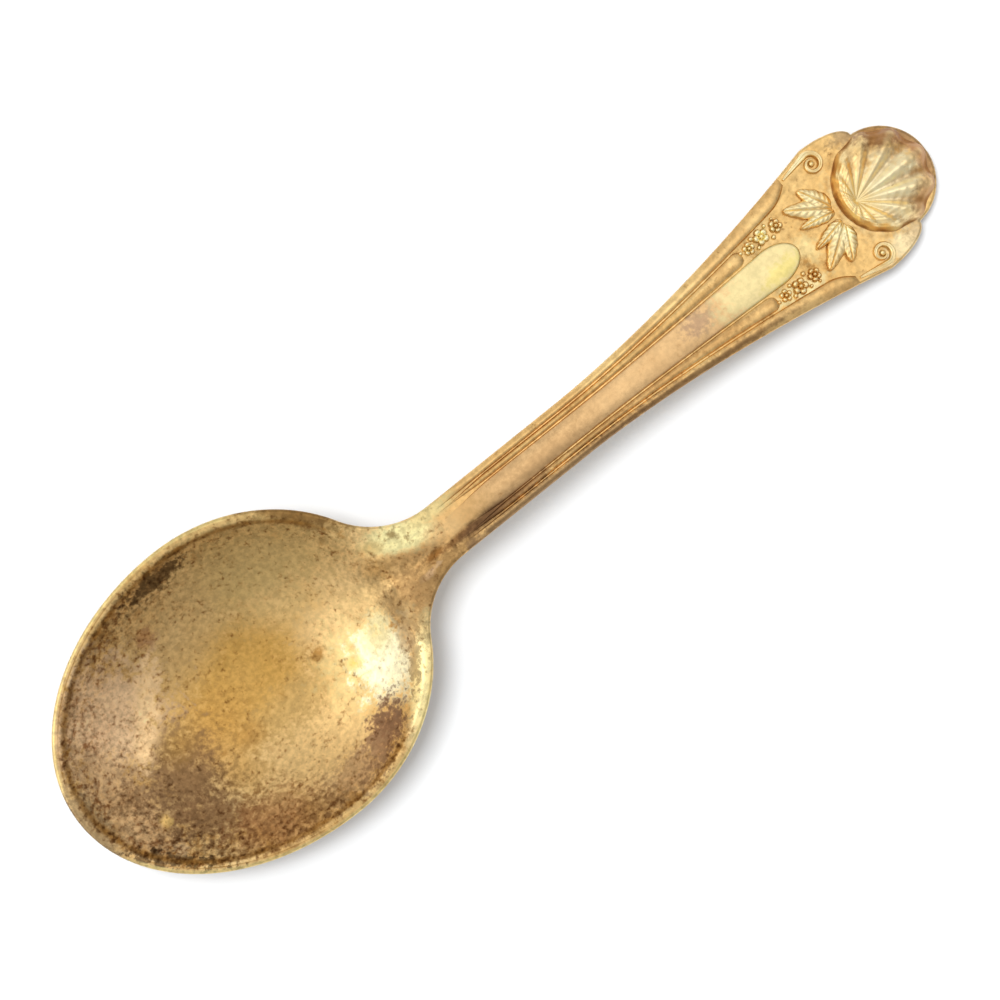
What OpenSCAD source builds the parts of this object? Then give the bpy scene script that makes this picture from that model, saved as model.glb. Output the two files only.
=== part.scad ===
// Baby spoon: an oval bowl lapped on a flared, moulded handle that ends in a fluted shell.
// X runs from the bowl's tip to the shell, Y across and Z up. The origin lies under the middle
// of the spoon, on the table that the bowl and the end of the handle rest on. Sizes in millimetres.

/* [Bowl] */
// Length from the bowl's tip to its widest place
bowl_front = 22.4; // [18:0.1:26]
// Length from the widest place to where the oval would close at the neck
bowl_rear = 18.3; // [16:0.1:24]
// Width over the rim
bowl_w = 32.8; // [28:0.1:38]
// Depth of the hollow below the rim
bowl_depth = 7; // [5.5:0.1:9]
// Metal under the middle of the hollow
bowl_wall = 1.1; // [0.8:0.05:1.6]
// Width of the rim's land
rim_w = 0.9; // [0.5:0.05:1.3]
// Thickness of the rim's edge
rim_t = 1; // [0.7:0.05:1.3]
// Rise of the rim from the widest place to the neck
rim_rise = 0.6; // [0:0.05:1.2]
// Width of the flat that the bowl rests on
rest_w = 8; // [5:0.1:12]

/* [Neck] */
// Width of the neck
neck_w = 6; // [5:0.1:8]
// Thickness of the neck where the bowl and its heel meet the stem
neck_t = 2.5; // [2:0.05:3.2]
// Radius that sweeps the neck into the rim
neck_fillet = 9; // [4:0.1:11]
// Length over which the rim thickens towards the neck
neck_run = 8; // [5:0.1:11]
// Thickness of the heel where it meets the stem
heel_t = 1; // [0.6:0.05:1.3]
// Thickness of the heel's far edge
heel_edge_t = 0.25; // [0.15:0.05:0.5]
// Length of the heel along the back of the bowl
heel_l = 10; // [6:0.1:14]

/* [Handle] */
// Length from where the oval would close to the end of the handle
handle_l = 67.3; // [58:0.1:76]
// Radius of the handle's arch
arch_r = 150; // [110:1:200]
// Fall of the straight blade, in degrees
blade_fall = 10; // [7:0.25:12]
// Thickness of the blade
blade_t = 1.5; // [1.1:0.05:2]
// Length over which the stem thins from the neck to the blade
thin_l = 26; // [15:0.5:35]
// Rise of the underside from its middle to its edges
under_crown = 0.35; // [0.1:0.05:0.6]
// Depth of the flat worn under the end of the handle
tip_sink = 0.15; // [0.05:0.01:0.3]
// Width over the shoulders
shoulder_w = 15; // [14:0.1:18]
// Length from the widest place of the shoulders to the end of the handle
shoulder_l = 10.3; // [9.5:0.1:12]
// Length over which the handle flares to the shoulders
flare_l = 35; // [28:0.5:40]

/* [Mouldings] */
// Width of the panel at the handle's waist
panel_waist_w = 2.7; // [1.8:0.05:2.9]
// Width of the panel at its arched end
panel_end_w = 4; // [3.2:0.05:4.6]
// Height of the panel at its edges
panel_edge_h = 0.3; // [0.15:0.05:0.5]
// Height of the panel along its middle
panel_h = 0.5; // [0.3:0.05:0.8]
// Gap from the end of the stem to the panel
panel_gap = 0.6; // [0.3:0.05:1.5]
// Length from the panel's arched end to the end of the handle
panel_end_l = 16.6; // [15.6:0.1:18]
// Length of the panel's arched end
panel_arch_l = 3.2; // [2:0.1:4.5]
// Width of the rail at the waist
rail_waist_w = 0.85; // [0.7:0.05:1.35]
// Width of the rail at its end
rail_end_w = 1.9; // [1.3:0.05:2.3]
// Width of the thread at the waist
thread_waist_w = 0.5; // [0.35:0.05:0.7]
// Width of the thread at its end
thread_end_w = 0.8; // [0.5:0.05:1]
// Height of the thread
thread_h = 0.38; // [0.2:0.02:0.6]
// Height of the rail
rail_h = 0.5; // [0.25:0.05:0.7]
// Height of the rail at the handle's edge
rail_edge_h = 0.12; // [0.05:0.01:0.2]

/* [Finial] */
// Radius of the round end that carries the shell
seat_r = 5.6; // [5:0.05:6]
// Width of the end's border around the shell
seat_border = 0.2; // [0.1:0.05:0.4]
// Height of the shell's crown
shell_h = 2; // [1.4:0.05:2.6]
// Height of the shell's edge
shell_edge_h = 0.5; // [0.3:0.05:0.7]
// Number of flutes in a full turn round the shell's hinge
flutes = 15; // [11:2:19]
// Depth of the flutes
flute_depth = 0.35; // [0.1:0.05:0.45]
// Gap between the shell and the pieces around it
shell_gap = 0.2; // [0.1:0.05:0.3]
// Radius of the scroll's outer turn
scroll_r = 1.15; // [0.9:0.05:1.2]
// Width of the scroll's band
scroll_w = 0.75; // [0.5:0.05:0.8]
// Height of the scroll's band
scroll_h = 0.7; // [0.4:0.05:1]
// Length of the scroll's straight tail
scroll_tail_l = 3.2; // [2:0.1:3.6]
// Width of the widest leaf
leaf_w = 2.3; // [1.6:0.05:2.6]
// Height of a leaf
leaf_h = 0.7; // [0.4:0.05:1]
// Radius of the largest blossom
blossom_r = 0.9; // [0.6:0.05:1]
// Height of a blossom
blossom_h = 0.65; // [0.4:0.05:0.9]
// Length of the spray of blossoms
spray_l = 4.6; // [4.2:0.1:5]

/* [Hidden] */

// Exponent of the hollow's section, and of the handle's flare
hollow_power_share = 2.3;
flare_power_share = 1.75;
// Counts of facets
joint_steps = 4;
fillet_steps = 5;
oval_steps = 22;
ring_steps = 7;
waist_steps = 9;
flare_steps = 14;
round_steps = 7;
under_steps = 4;
shell_turn_steps = 90;
blossom_turn_steps = 30;
leaf_turn_steps = 20;
solve_steps = 40;
// Angle at which round ends stop short of a point, so that no face is empty
end_angle = 8;
// Angle round the shell's seat, from the end of the handle, at which the shoulders meet it
notch_angle = 85;
// Angle round the shell's seat at which the scroll sits
scroll_angle = 129;
// Turn of the scroll, and the lean of its tail
scroll_turn = 420;
scroll_lean = 11;
// Limits between which the stem's first slope is sought
lift_low = -20;
lift_high = 40;
// Closest that two cross-sections of a moulding stand
section_gap = 0.05;

gold = "#d9a94e";
pale_gold = "#edcb84";
old_gold = "#b98a3f";

overall_l = bowl_front + bowl_rear + handle_l;
bowl_x = bowl_front - overall_l / 2;
tip_x = overall_l / 2;
bowl_half = bowl_w / 2;
neck_half = neck_w / 2;
shoulder_half = shoulder_w / 2;

function clamp01(u) = max(0, min(1, u));
function unit(v) = v / norm(v);
function sorted(v) = len(v) < 2 ? v
    : let (mid = v[floor(len(v) / 2)])
      concat(sorted([for (x = v) if (x < mid) x]), [mid], sorted([for (x = v) if (x > mid) x]));

// A solid skinned over closed loops of equal length, with a fan of faces at each flat end.
function mean_point(loop) = [for (c = [0 : 2]) [for (p = loop) p[c]] * [for (p = loop) 1] / len(loop)];
module loft(loops) {
    n = len(loops[0]);
    last = (len(loops) - 1) * n;
    first_mid = len(loops) * n;
    polyhedron(
        points = concat([for (loop = loops) each loop],
                        [mean_point(loops[0]), mean_point(loops[len(loops) - 1])]),
        faces = concat(
            [for (i = [0 : n - 1]) [(i + 1) % n, i, first_mid]],
            [for (k = [0 : len(loops) - 2], i = [0 : n - 1])
                let (a = k * n + i, b = k * n + (i + 1) % n) each [[a, b, a + n], [b, b + n, a + n]]],
            [for (i = [0 : n - 1]) [last + i, last + (i + 1) % n, first_mid + 1]]));
}

// A solid between two grids of points that lie one above the other.
module slab(top, under) {
    rows = len(top);
    cols = len(top[0]);
    half = rows * cols;
    border = concat([for (c = [0 : cols - 1]) c],
                    [for (r = [1 : rows - 1]) r * cols + cols - 1],
                    [for (c = [cols - 2 : -1 : 0]) (rows - 1) * cols + c],
                    [for (r = [rows - 2 : -1 : 1]) r * cols]);
    polyhedron(
        points = concat([for (row = top) each row], [for (row = under) each row]),
        faces = [
            for (r = [0 : rows - 2], c = [0 : cols - 2])
                let (a = r * cols + c, b = a + cols)
                each [[a, a + 1, b], [a + 1, b + 1, b],
                      [half + a, half + b, half + a + 1], [half + a + 1, half + b, half + b + 1]],
            for (i = [0 : len(border) - 1])
                let (a = border[i], b = border[(i + 1) % len(border)])
                each [[a, half + a, b], [b, half + a, half + b]]]);
}

// Plan of the bowl: an oval with fillets that sweep into the neck.
function oval_half(a) = a < 90 ? bowl_rear : bowl_front;
function oval_point(a) = [bowl_x + oval_half(a) * cos(a), bowl_half * sin(a)];
function oval_normal(a) = unit([cos(a) / oval_half(a), sin(a) / bowl_half]);
function fillet_miss(a) = oval_point(a).y + neck_fillet * (oval_normal(a).y - 1) - neck_half;
function fillet_start(low, high, n) = let (mid = (low + high) / 2)
    n == 0 ? mid : fillet_miss(mid) > 0 ? fillet_start(low, mid, n - 1) : fillet_start(mid, high, n - 1);

fillet_angle = fillet_start(0, 90, solve_steps);
fillet_mid = oval_point(fillet_angle) + neck_fillet * oval_normal(fillet_angle);
fillet_out = -oval_normal(fillet_angle);
fillet_sweep = 360 + atan2(fillet_out.y, fillet_out.x);
joint_x = fillet_mid.x;

// Each stop of the plan is a place on the edge with the places of the oval and the hollow towards it.
function oval_share(p, inset) = norm([(p.x - bowl_x) / ((p.x > bowl_x ? bowl_rear : bowl_front) - inset),
                                      p.y / (bowl_half - inset)]);
function along(p, share) = [bowl_x + (p.x - bowl_x) * share, p.y * share];
function stop_at(p) = [p, along(p, min(1, 1 / oval_share(p, 0))), along(p, 1 / oval_share(p, rim_w))];
joint_points = [for (i = [0 : joint_steps - 1]) [joint_x, neck_half * i / joint_steps]];
fillet_points = [for (i = [0 : fillet_steps - 1])
    let (a = 270 + (fillet_sweep - 270) * i / fillet_steps)
    fillet_mid + neck_fillet * [cos(a), sin(a)]];
oval_points = [for (i = [0 : oval_steps]) oval_point(fillet_angle + (180 - fillet_angle) * i / oval_steps)];
half_edge = concat(joint_points, fillet_points, oval_points);
function other_side(p) = [p.x, -p.y];
edge = concat(half_edge, [for (i = [len(half_edge) - 2 : -1 : 1]) other_side(half_edge[i])]);
plan = [for (p = edge) stop_at(p)];

// Heights of the bowl: the rim's plane, the hollow and the back.
rim_mid_z = bowl_wall + bowl_depth;
rest_share = rest_w / bowl_w;
rest_lift_share = pow(rest_share, hollow_power_share) / (1 - pow(rest_share, hollow_power_share));
function rim_z(x) = rim_mid_z + rim_rise * (x - bowl_x) / bowl_rear;
function edge_t(x) = rim_t + (neck_t - heel_t - rim_t) * pow(clamp01(1 - (joint_x - x) / neck_run), 2);
function hollow_point(stop, share) = let (q = along(stop[2], share))
    [q.x, q.y, rim_z(q.x) - bowl_depth * (1 - pow(share, hollow_power_share))];
function back_rise(share) = share <= rest_share ? 0
    : pow(share, hollow_power_share) * (1 + rest_lift_share) - rest_lift_share;
function back_point(stop, share) = let (
        p = share < 1 ? stop[1] : stop[0],
        q = along(p, share))
    [q.x, q.y, (rim_z(p.x) - edge_t(p.x)) * back_rise(share)];
back_shares = concat([for (k = [0 : ring_steps - 1]) 1 - (1 - rest_share) * k / ring_steps], [rest_share]);

module bowl() {
    hollow = [for (k = [1 : ring_steps]) [for (s = plan) hollow_point(s, k / ring_steps)]];
    land = [for (s = plan) [s[0].x, s[0].y, rim_z(s[0].x)]];
    back = [for (share = back_shares) [for (s = plan) back_point(s, share)]];
    color(old_gold) loft(concat(hollow, [land], back));
}

// The heel laps under the bowl, from the lower half of the stem's end towards the middle of the back.
// Between two rings of the back the surface is straight, so the heel follows the rings' own points.
heel_share = heel_l / (joint_x - bowl_x);
function heel_top(stop, share) = let (
        k = min(ring_steps - 1, floor((1 - share) / (1 - rest_share) * ring_steps)),
        part = (back_shares[k] - share) / (back_shares[k] - back_shares[k + 1]))
    back_point(stop, back_shares[k]) * (1 - part) + back_point(stop, back_shares[k + 1]) * part;
function heel_depth(share) = heel_edge_t + (heel_t - heel_edge_t) * clamp01(1 - (1 - share) / heel_share);

module heel() {
    half_row = concat(joint_points, [fillet_points[0]]);
    row = concat([for (i = [joint_steps : -1 : 1]) other_side(half_row[i])], half_row);
    shares = sorted(concat([for (share = back_shares) if (share > 1 - heel_share) share],
                           [1 - heel_share]));
    top = [for (share = shares) [for (p = row) heel_top(stop_at(p), share)]];
    under = [for (i = [0 : len(top) - 1]) [for (p = top[i]) p - [0, 0, heel_depth(shares[i])]]];
    color(gold) slab(top, under);
}

// Side profile of the handle: an arch that runs out into a straight blade whose end rests on the table.
joint_z = rim_z(joint_x);
function arch_end_x(lift) = joint_x + arch_r * (sin(lift) + sin(blade_fall));
function arch_end_z(lift) = joint_z + arch_r * (cos(blade_fall) - cos(lift));
function blade_drop(lift) = (tip_x - arch_end_x(lift)) * tan(blade_fall);
function end_miss(lift) = arch_end_z(lift) - blade_drop(lift) - blade_t + tip_sink;
function find_lift(low, high, n) = let (mid = (low + high) / 2)
    n == 0 ? mid : end_miss(mid) > 0 ? find_lift(low, mid, n - 1) : find_lift(mid, high, n - 1);

lift = find_lift(lift_low, lift_high, solve_steps);
blade_x = arch_end_x(lift);
arch_mid = [joint_x + arch_r * sin(lift), joint_z - arch_r * cos(lift)];
function deck_z(x) = x > blade_x
    ? arch_end_z(lift) - (x - blade_x) * tan(blade_fall)
    : arch_mid.y + sqrt(arch_r * arch_r - pow(x - arch_mid.x, 2));

// Plan of the handle: a straight waist, a flare to the shoulders, and the shell's round seat.
shoulder_x = tip_x - shoulder_l;
flare_x = shoulder_x - flare_l;
seat_x = tip_x - seat_r * cos(end_angle);
notch = [seat_x + seat_r * cos(notch_angle), seat_r * sin(notch_angle)];
function grow(x, end_x) = pow(clamp01((x - flare_x) / (end_x - flare_x)), flare_power_share);
function lobe_share(x) = sqrt(max(0, 1 - pow((x - shoulder_x) / (notch.x - shoulder_x), 2)));
function handle_half(x) = x <= shoulder_x
    ? neck_half + (shoulder_half - neck_half) * grow(x, shoulder_x)
    : x <= notch.x
    ? notch.y + (shoulder_half - notch.y) * lobe_share(x)
    : sqrt(max(0, seat_r * seat_r - pow(x - seat_x, 2)));
stations = concat(
    [for (i = [0 : waist_steps - 1]) joint_x + (flare_x - joint_x) * i / waist_steps],
    [for (i = [0 : flare_steps - 1]) flare_x + flare_l * i / flare_steps],
    [for (i = [0 : round_steps - 1]) shoulder_x + (notch.x - shoulder_x) * sin(90 * i / round_steps)],
    [for (i = [0 : round_steps])
        seat_x + seat_r * cos(notch_angle + (end_angle - notch_angle) * i / round_steps)]);
deck_table = [for (x = stations) [x, deck_z(x)]];
// The deck between stations is straight, and every moulding is seated on that same deck.
function seat_z(x) = lookup(x, deck_table);
function stops_between(low, high, more = []) = sorted(concat([low, high], more,
    [for (x = stations) if (x > low + section_gap && x < high - section_gap) x]));

function stem_t(x) = blade_t + (neck_t - blade_t) * pow(clamp01(1 - (x - joint_x) / thin_l), 2);
function crown_at(x) = under_crown * clamp01((x - joint_x) / thin_l);
function stem_loop(x) = let (half = handle_half(x), z = seat_z(x), floor_z = z - stem_t(x))
    concat([[x, -half, z], [x, half, z]],
           [for (i = [0 : under_steps])
               let (side = 1 - 2 * i / under_steps)
               [x, half * side, max(0, floor_z + crown_at(x) * side * side)]]);

module stem() {
    color(gold) loft([for (x = stations) stem_loop(x)]);
}

// Place of the scroll on a shoulder, beside the shell's seat.
scroll_reach = seat_r + shell_gap + scroll_r + scroll_w / 2;
scroll_place = [seat_x + scroll_reach * cos(scroll_angle), scroll_reach * sin(scroll_angle)];

// Raised panel along the middle of the handle, with an arched end.
panel_x = joint_x + panel_gap;
panel_end_x = tip_x - panel_end_l;
panel_arch_x = panel_end_x - panel_arch_l;
arch_angles = [for (i = [1 : round_steps]) (90 - end_angle) * i / round_steps];
function panel_half(x) = (panel_waist_w + (panel_end_w - panel_waist_w) * grow(x, panel_arch_x)) / 2;
function arched(x) = x < panel_arch_x ? 1 : sqrt(max(0, 1 - pow((x - panel_arch_x) / panel_arch_l, 2)));
// Sections of the mouldings: [share across, share of height].
panel_shares = [[-1, 0], [-0.5, 0.75], [0, 1], [0.5, 0.75], [1, 0]];
thread_shares = [[-1, 0], [-0.5, 0.75], [0, 1], [0.5, 0.75], [1, 0]];
rail_shares = [[0.12, 0.7], [0.38, 1], [0.75, 0.7], [1, 0]];
function panel_loop(x) = let (half = panel_half(x) * arched(x), z = seat_z(x))
    concat([[x, -half, z]],
           [for (s = panel_shares) [x, half * s[0], z + panel_edge_h + (panel_h - panel_edge_h) * s[1]]],
           [[x, half, z]]);

module panel() {
    arch_stops = [for (a = arch_angles) panel_arch_x + panel_arch_l * sin(a)];
    straight = stops_between(panel_x, panel_arch_x);
    color(pale_gold) loft([for (x = concat(straight, arch_stops)) panel_loop(x)]);
}

// A rail runs along each edge of the handle, and a thread in the channel between it and the panel.
spray_x = panel_end_x - spray_l / 2;
thread_end_x = spray_x - spray_l / 2 - shell_gap;
rail_end_x = scroll_place.x - scroll_r * sin(scroll_lean) - scroll_tail_l - shell_gap;
function rail_in(x) = handle_half(x) - rail_waist_w - (rail_end_w - rail_waist_w) * grow(x, rail_end_x);
function channel_mid(x) = (panel_half(x) + rail_in(x)) / 2;
function thread_w(x) = thread_waist_w + (thread_end_w - thread_waist_w) * grow(x, thread_end_x);
function thread_loop(x) = let (y = channel_mid(x), half = thread_w(x) / 2, z = seat_z(x))
    [for (s = thread_shares) [x, y + half * s[0], z + thread_h * s[1]]];
function rail_loop(x) = let (y = rail_in(x), w = handle_half(x) - y, z = seat_z(x))
    concat([[x, y, z]],
           [for (s = rail_shares) [x, y + w * s[0], z + rail_edge_h + (rail_h - rail_edge_h) * s[1]]],
           [[x, y + w, z]]);

module thread() {
    color(gold) loft([for (x = stops_between(panel_x, thread_end_x)) thread_loop(x)]);
}
module rail() {
    color(gold) loft([for (x = stops_between(panel_x, rail_end_x)) rail_loop(x)]);
}

// Relief that stands on the blade: X runs down the blade from the place and Z is square to it.
module on_blade(x, y = 0, turn = 0) {
    translate([x, y, deck_z(x)]) rotate([0, blade_fall, 0]) rotate([0, 0, turn]) children();
}
// A low relief over a flat outline, through levels of [share of the outline, height].
module relief(outline, levels) {
    loops = [for (level = levels) [for (p = outline) [p.x * level[0], p.y * level[0], level[1]]]];
    foot = [for (p = outline) [p.x, p.y, 0]];
    loft(concat(loops, [foot]));
}

// Fluted shell: its flutes fan out from a hinge near the edge that faces the panel.
shell_r = seat_r * cos(blade_fall) - seat_border;
hinge_share = 0.72;
hinge_back = hinge_share * shell_r;
scallop_share = 0.05;
shell_levels_share = [[0.1, 0.45], [0.25, 0.72], [0.42, 0.93], [0.58, 1], [0.74, 0.93],
                      [0.88, 0.66], [1, 0]];
function shell_reach(turn) = hinge_back * cos(turn)
    + sqrt(shell_r * shell_r - pow(hinge_back * sin(turn), 2));
function flute_wave(turn) = cos(turn * flutes) * pow(cos(turn / 2), 2);
function shell_point(turn, level) = let (
        reach = shell_reach(turn) * level[0] * (1 - scallop_share * (1 - flute_wave(turn)) / 2),
        flute = flute_depth * flute_wave(turn) * sin(90 * level[0]) * (1 + level[1]) / 2,
        height = shell_edge_h + (shell_h - shell_edge_h) * level[1] + flute)
    [reach * cos(turn) - hinge_back, reach * sin(turn), height];

module shell() {
    turns = [for (i = [0 : shell_turn_steps - 1]) 360 * i / shell_turn_steps];
    foot = [for (turn = turns) let (p = shell_point(turn, [1, 0])) [p.x, p.y, 0]];
    loops = [for (level = shell_levels_share) [for (turn = turns) shell_point(turn, level)]];
    color(gold) on_blade(seat_x) loft(concat(loops, [foot]));
}

// Scroll on a shoulder: a tail along the edge that curls into a volute beside the shell.
scroll_steps = 22;
tail_steps = 3;
scroll_end_share = 0.36;
function scroll_centre(k) = let (turn = 90 + scroll_lean - scroll_turn * k / scroll_steps,
        r = scroll_r * (1 - (1 - scroll_end_share) * k / scroll_steps))
    [r * cos(turn), r * sin(turn)];
function scroll_loop(p, across, share) = let (w = scroll_w * share / 2, h = scroll_h * share)
    [for (a = [180 : -45 : 0]) [p.x + across.x * w * cos(a), p.y + across.y * w * cos(a), h * sin(a)]];

module scroll() {
    across = [-sin(scroll_lean), cos(scroll_lean)];
    back = [-cos(scroll_lean), -sin(scroll_lean)];
    first = scroll_centre(0);
    tail = [for (i = [tail_steps : -1 : 1])
        scroll_loop(first + back * scroll_tail_l * i / tail_steps, across,
                    1 - (1 - scroll_end_share) * i / tail_steps)];
    curl = [for (k = [0 : scroll_steps])
        let (p = scroll_centre(k)) scroll_loop(p, unit(p), 1 - (1 - scroll_end_share) * k / scroll_steps)];
    color(gold) on_blade(scroll_place.x, scroll_place.y) loft(concat(tail, curl));
}

// Leaves that spread from under the shell's hinge, over the space between it, the panel and the rails:
// [share back to the panel at the tip, share across at the root, share across at the tip, share of width].
hinge_x = seat_x - seat_r - shell_gap;
leaf_space = hinge_x - panel_end_x;
leaf_reach = rail_in(rail_end_x);
leaf_shares = [[0.74, 0.12, 0.27, 0.6], [0.8, 0.2, 0.78, 0.92], [0.34, 0.25, 0.93, 0.85]];
leaf_point_share = 0.35;
leaf_levels_share = [[0.3, 1], [0.6, 0.8], [0.85, 0.45], [1, 0.15]];
function leaf_outline(length, width) = [for (i = [0 : leaf_turn_steps - 1])
    let (a = 360 * i / leaf_turn_steps)
    [length / 2 * cos(a), width / 2 * sin(a) * (1 - leaf_point_share * cos(a))]];

module leaf(root, tip, width) {
    run = tip - root;
    middle = (root + tip) / 2;
    levels = [for (l = leaf_levels_share) [l[0], l[1] * leaf_h]];
    on_blade(middle.x, middle.y, atan2(run.y, run.x)) relief(leaf_outline(norm(run), width), levels);
}
module leaves() {
    color(gold) for (l = leaf_shares)
        leaf([hinge_x, l[1] * leaf_reach], [hinge_x - l[0] * leaf_space, l[2] * leaf_reach], l[3] * leaf_w);
}

// Spray of blossoms beside the panel's arched end: [share along, share across, share of radius].
blossom_shares = [[-0.36, -0.1, 0.8], [0.02, 0.1, 1], [0.42, 0.05, 0.85]];
petals = 5;
petal_share = 0.3;
petal_power_share = 0.6;
blossom_levels_share = [[0.16, 1], [0.34, 0.55], [0.6, 0.85], [0.88, 0.6], [1, 0.3]];
function blossom_outline(r) = [for (i = [0 : blossom_turn_steps - 1])
    let (a = 360 * i / blossom_turn_steps,
         lobe = pow(abs(cos(petals * a / 2)), petal_power_share),
         reach = r * (1 - petal_share * (1 - lobe)))
    [reach * cos(a), reach * sin(a)]];

module blossoms() {
    levels = [for (l = blossom_levels_share) [l[0], l[1] * blossom_h]];
    color(pale_gold) for (b = blossom_shares) {
        x = spray_x + spray_l * b[0];
        y = channel_mid(spray_x) + blossom_r * b[1];
        on_blade(x, y) relief(blossom_outline(blossom_r * b[2]), levels);
    }
}

module other_hand() {
    mirror([0, 1, 0]) children();
}

bowl();
heel();
stem();
panel();
rail();  // left_rail
other_hand() rail();  // right_rail
thread();  // left_thread
other_hand() thread();  // right_thread
shell();
scroll();  // left_scroll
other_hand() scroll();  // right_scroll
leaves();  // left_leaves
other_hand() leaves();  // right_leaves
blossoms();  // left_blossoms
other_hand() blossoms();  // right_blossoms
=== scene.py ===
"""Looks of a worn gilt baby spoon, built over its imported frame.

X runs from the bowl's tip to the shell, Y to the left and Z up from the table. Sizes are in
millimetres, and become metres when a mesh is made.
"""

import logging
import math
from collections.abc import Callable
from dataclasses import dataclass, replace
from enum import Enum
from functools import cached_property

import bmesh
import bpy
import numpy as np
from mathutils import Matrix, Vector


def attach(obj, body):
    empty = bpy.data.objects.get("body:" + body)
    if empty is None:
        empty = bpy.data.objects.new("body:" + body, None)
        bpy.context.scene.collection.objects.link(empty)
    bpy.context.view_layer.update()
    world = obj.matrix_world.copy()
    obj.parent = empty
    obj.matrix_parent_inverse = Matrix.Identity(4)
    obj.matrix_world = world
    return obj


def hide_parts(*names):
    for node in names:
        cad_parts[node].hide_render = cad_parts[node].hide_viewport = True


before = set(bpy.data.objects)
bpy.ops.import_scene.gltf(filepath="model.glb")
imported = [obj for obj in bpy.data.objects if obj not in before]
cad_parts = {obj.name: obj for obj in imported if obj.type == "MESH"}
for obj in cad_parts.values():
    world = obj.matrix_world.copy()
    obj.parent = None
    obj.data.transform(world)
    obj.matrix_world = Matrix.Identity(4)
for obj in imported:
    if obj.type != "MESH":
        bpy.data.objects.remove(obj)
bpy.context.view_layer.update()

LOG = logging.getLogger("baby_spoon")
BODY = "root"
# Metres to a millimetre
MM = 0.001
# Values that a mesh carries at its points
WEAR = "wear"
STAIN = "stain"
# Angle between faces over which their edge stays crisp
SHARP_ANGLE = math.radians(48.0)
# Keeps a divisor or a radius from being nothing
SMALL = 1e-6
# Rounds in which a crossing is narrowed down
HALVINGS = 48
# Upright part of a face's direction over which patches fade in
FACING_LOW = -0.05
FACING_HIGH = 0.2
# Reach of a patch through the metal, so great that only its plan counts
PATCH_DEPTH = 1e4
# Sockets of a mixing node that carry colours
MIX_FIRST = 6
MIX_SECOND = 7
MIX_RESULT = 2

Array = np.ndarray
Colour = tuple[float, float, float, float]
Pair = tuple[float, float]
Triple = tuple[float, float, float]


class Side(Enum):
    """Hand of a piece that comes as a pair: the sign of Y."""

    LEFT = 1
    RIGHT = -1


class Slot(Enum):
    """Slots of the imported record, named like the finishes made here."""

    BOWL = "bowl_gilt"
    STEM = "stem_gilt"
    PANEL = "panel_gilt"
    RAIL = "rail_gilt"
    SHELL = "shell_gilt"
    ORNAMENT = "ornament_gilt"


def clamp01(value: Array) -> Array:
    """Returns the value held between 0 and 1."""
    return np.clip(value, 0.0, 1.0)


def ease(value: Array) -> Array:
    """Returns an S-curve from 0 to 1."""
    share = clamp01(value)
    return share * share * (3.0 - 2.0 * share)


def between(share: Array, low: float, high: float) -> Array:
    """Returns the value at a share of the way from low to high."""
    return low + (high - low) * share


def soft_corner(value: Array, width: Array) -> Array:
    """Returns max(0, value) with its corner rounded over a width."""
    return width * np.logaddexp(0.0, value / width)


def round_over(distance: Array, radius: Array) -> Array:
    """Works out how far a rounded edge drops.

    Args:
        distance: Distance in from the edge.
        radius: Radius of the rounding.

    Returns:
        The drop below the flat, from the radius at the edge to nothing.
    """
    left = np.clip(radius - distance, 0.0, radius)
    return radius - np.sqrt(np.maximum(radius * radius - left * left, 0.0))


def quarter(share: Array) -> Array:
    """Returns the height of a quarter circle at a share of its run."""
    return np.sqrt(np.maximum(1.0 - share * share, 0.0))


def crowded(count: int) -> Array:
    """Returns a row of places from -1 to 1 that crowd towards both ends."""
    return np.sin(np.linspace(-math.pi / 2.0, math.pi / 2.0, count))[None, :]


def around(count: int) -> Array:
    """Returns a row of angles once round a circle, in radians."""
    return np.linspace(0.0, 2.0 * math.pi, count, endpoint=False)[None, :]


def solve(miss: Callable[[float], float], low: float, high: float) -> float:
    """Finds where a function that rises through nothing crosses it.

    Args:
        miss: The function.
        low: A place where it is below nothing.
        high: A place where it is above nothing.

    Returns:
        The crossing.
    """
    for _ in range(HALVINGS):
        middle = (low + high) / 2.0
        if miss(middle) > 0.0:
            high = middle
        else:
            low = middle
    return (low + high) / 2.0


def stack(x: Array, y: Array, z: Array) -> Array:
    """Returns points from coordinates that are spread to one shape."""
    return np.stack(np.broadcast_arrays(x, y, z), axis=-1)


def linear(code: str) -> Colour:
    """Turns a colour code into the linear colour that a node takes.

    Args:
        code: Colour as it looks, such as "#d9a94e".

    Returns:
        Linear red, green, blue and alpha.
    """
    parts = [int(code[i:i + 2], 16) / 255.0 for i in (1, 3, 5)]
    red, green, blue = (p / 12.92 if p <= 0.04045 else ((p + 0.055) / 1.055) ** 2.4 for p in parts)
    return (red, green, blue, 1.0)


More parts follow.
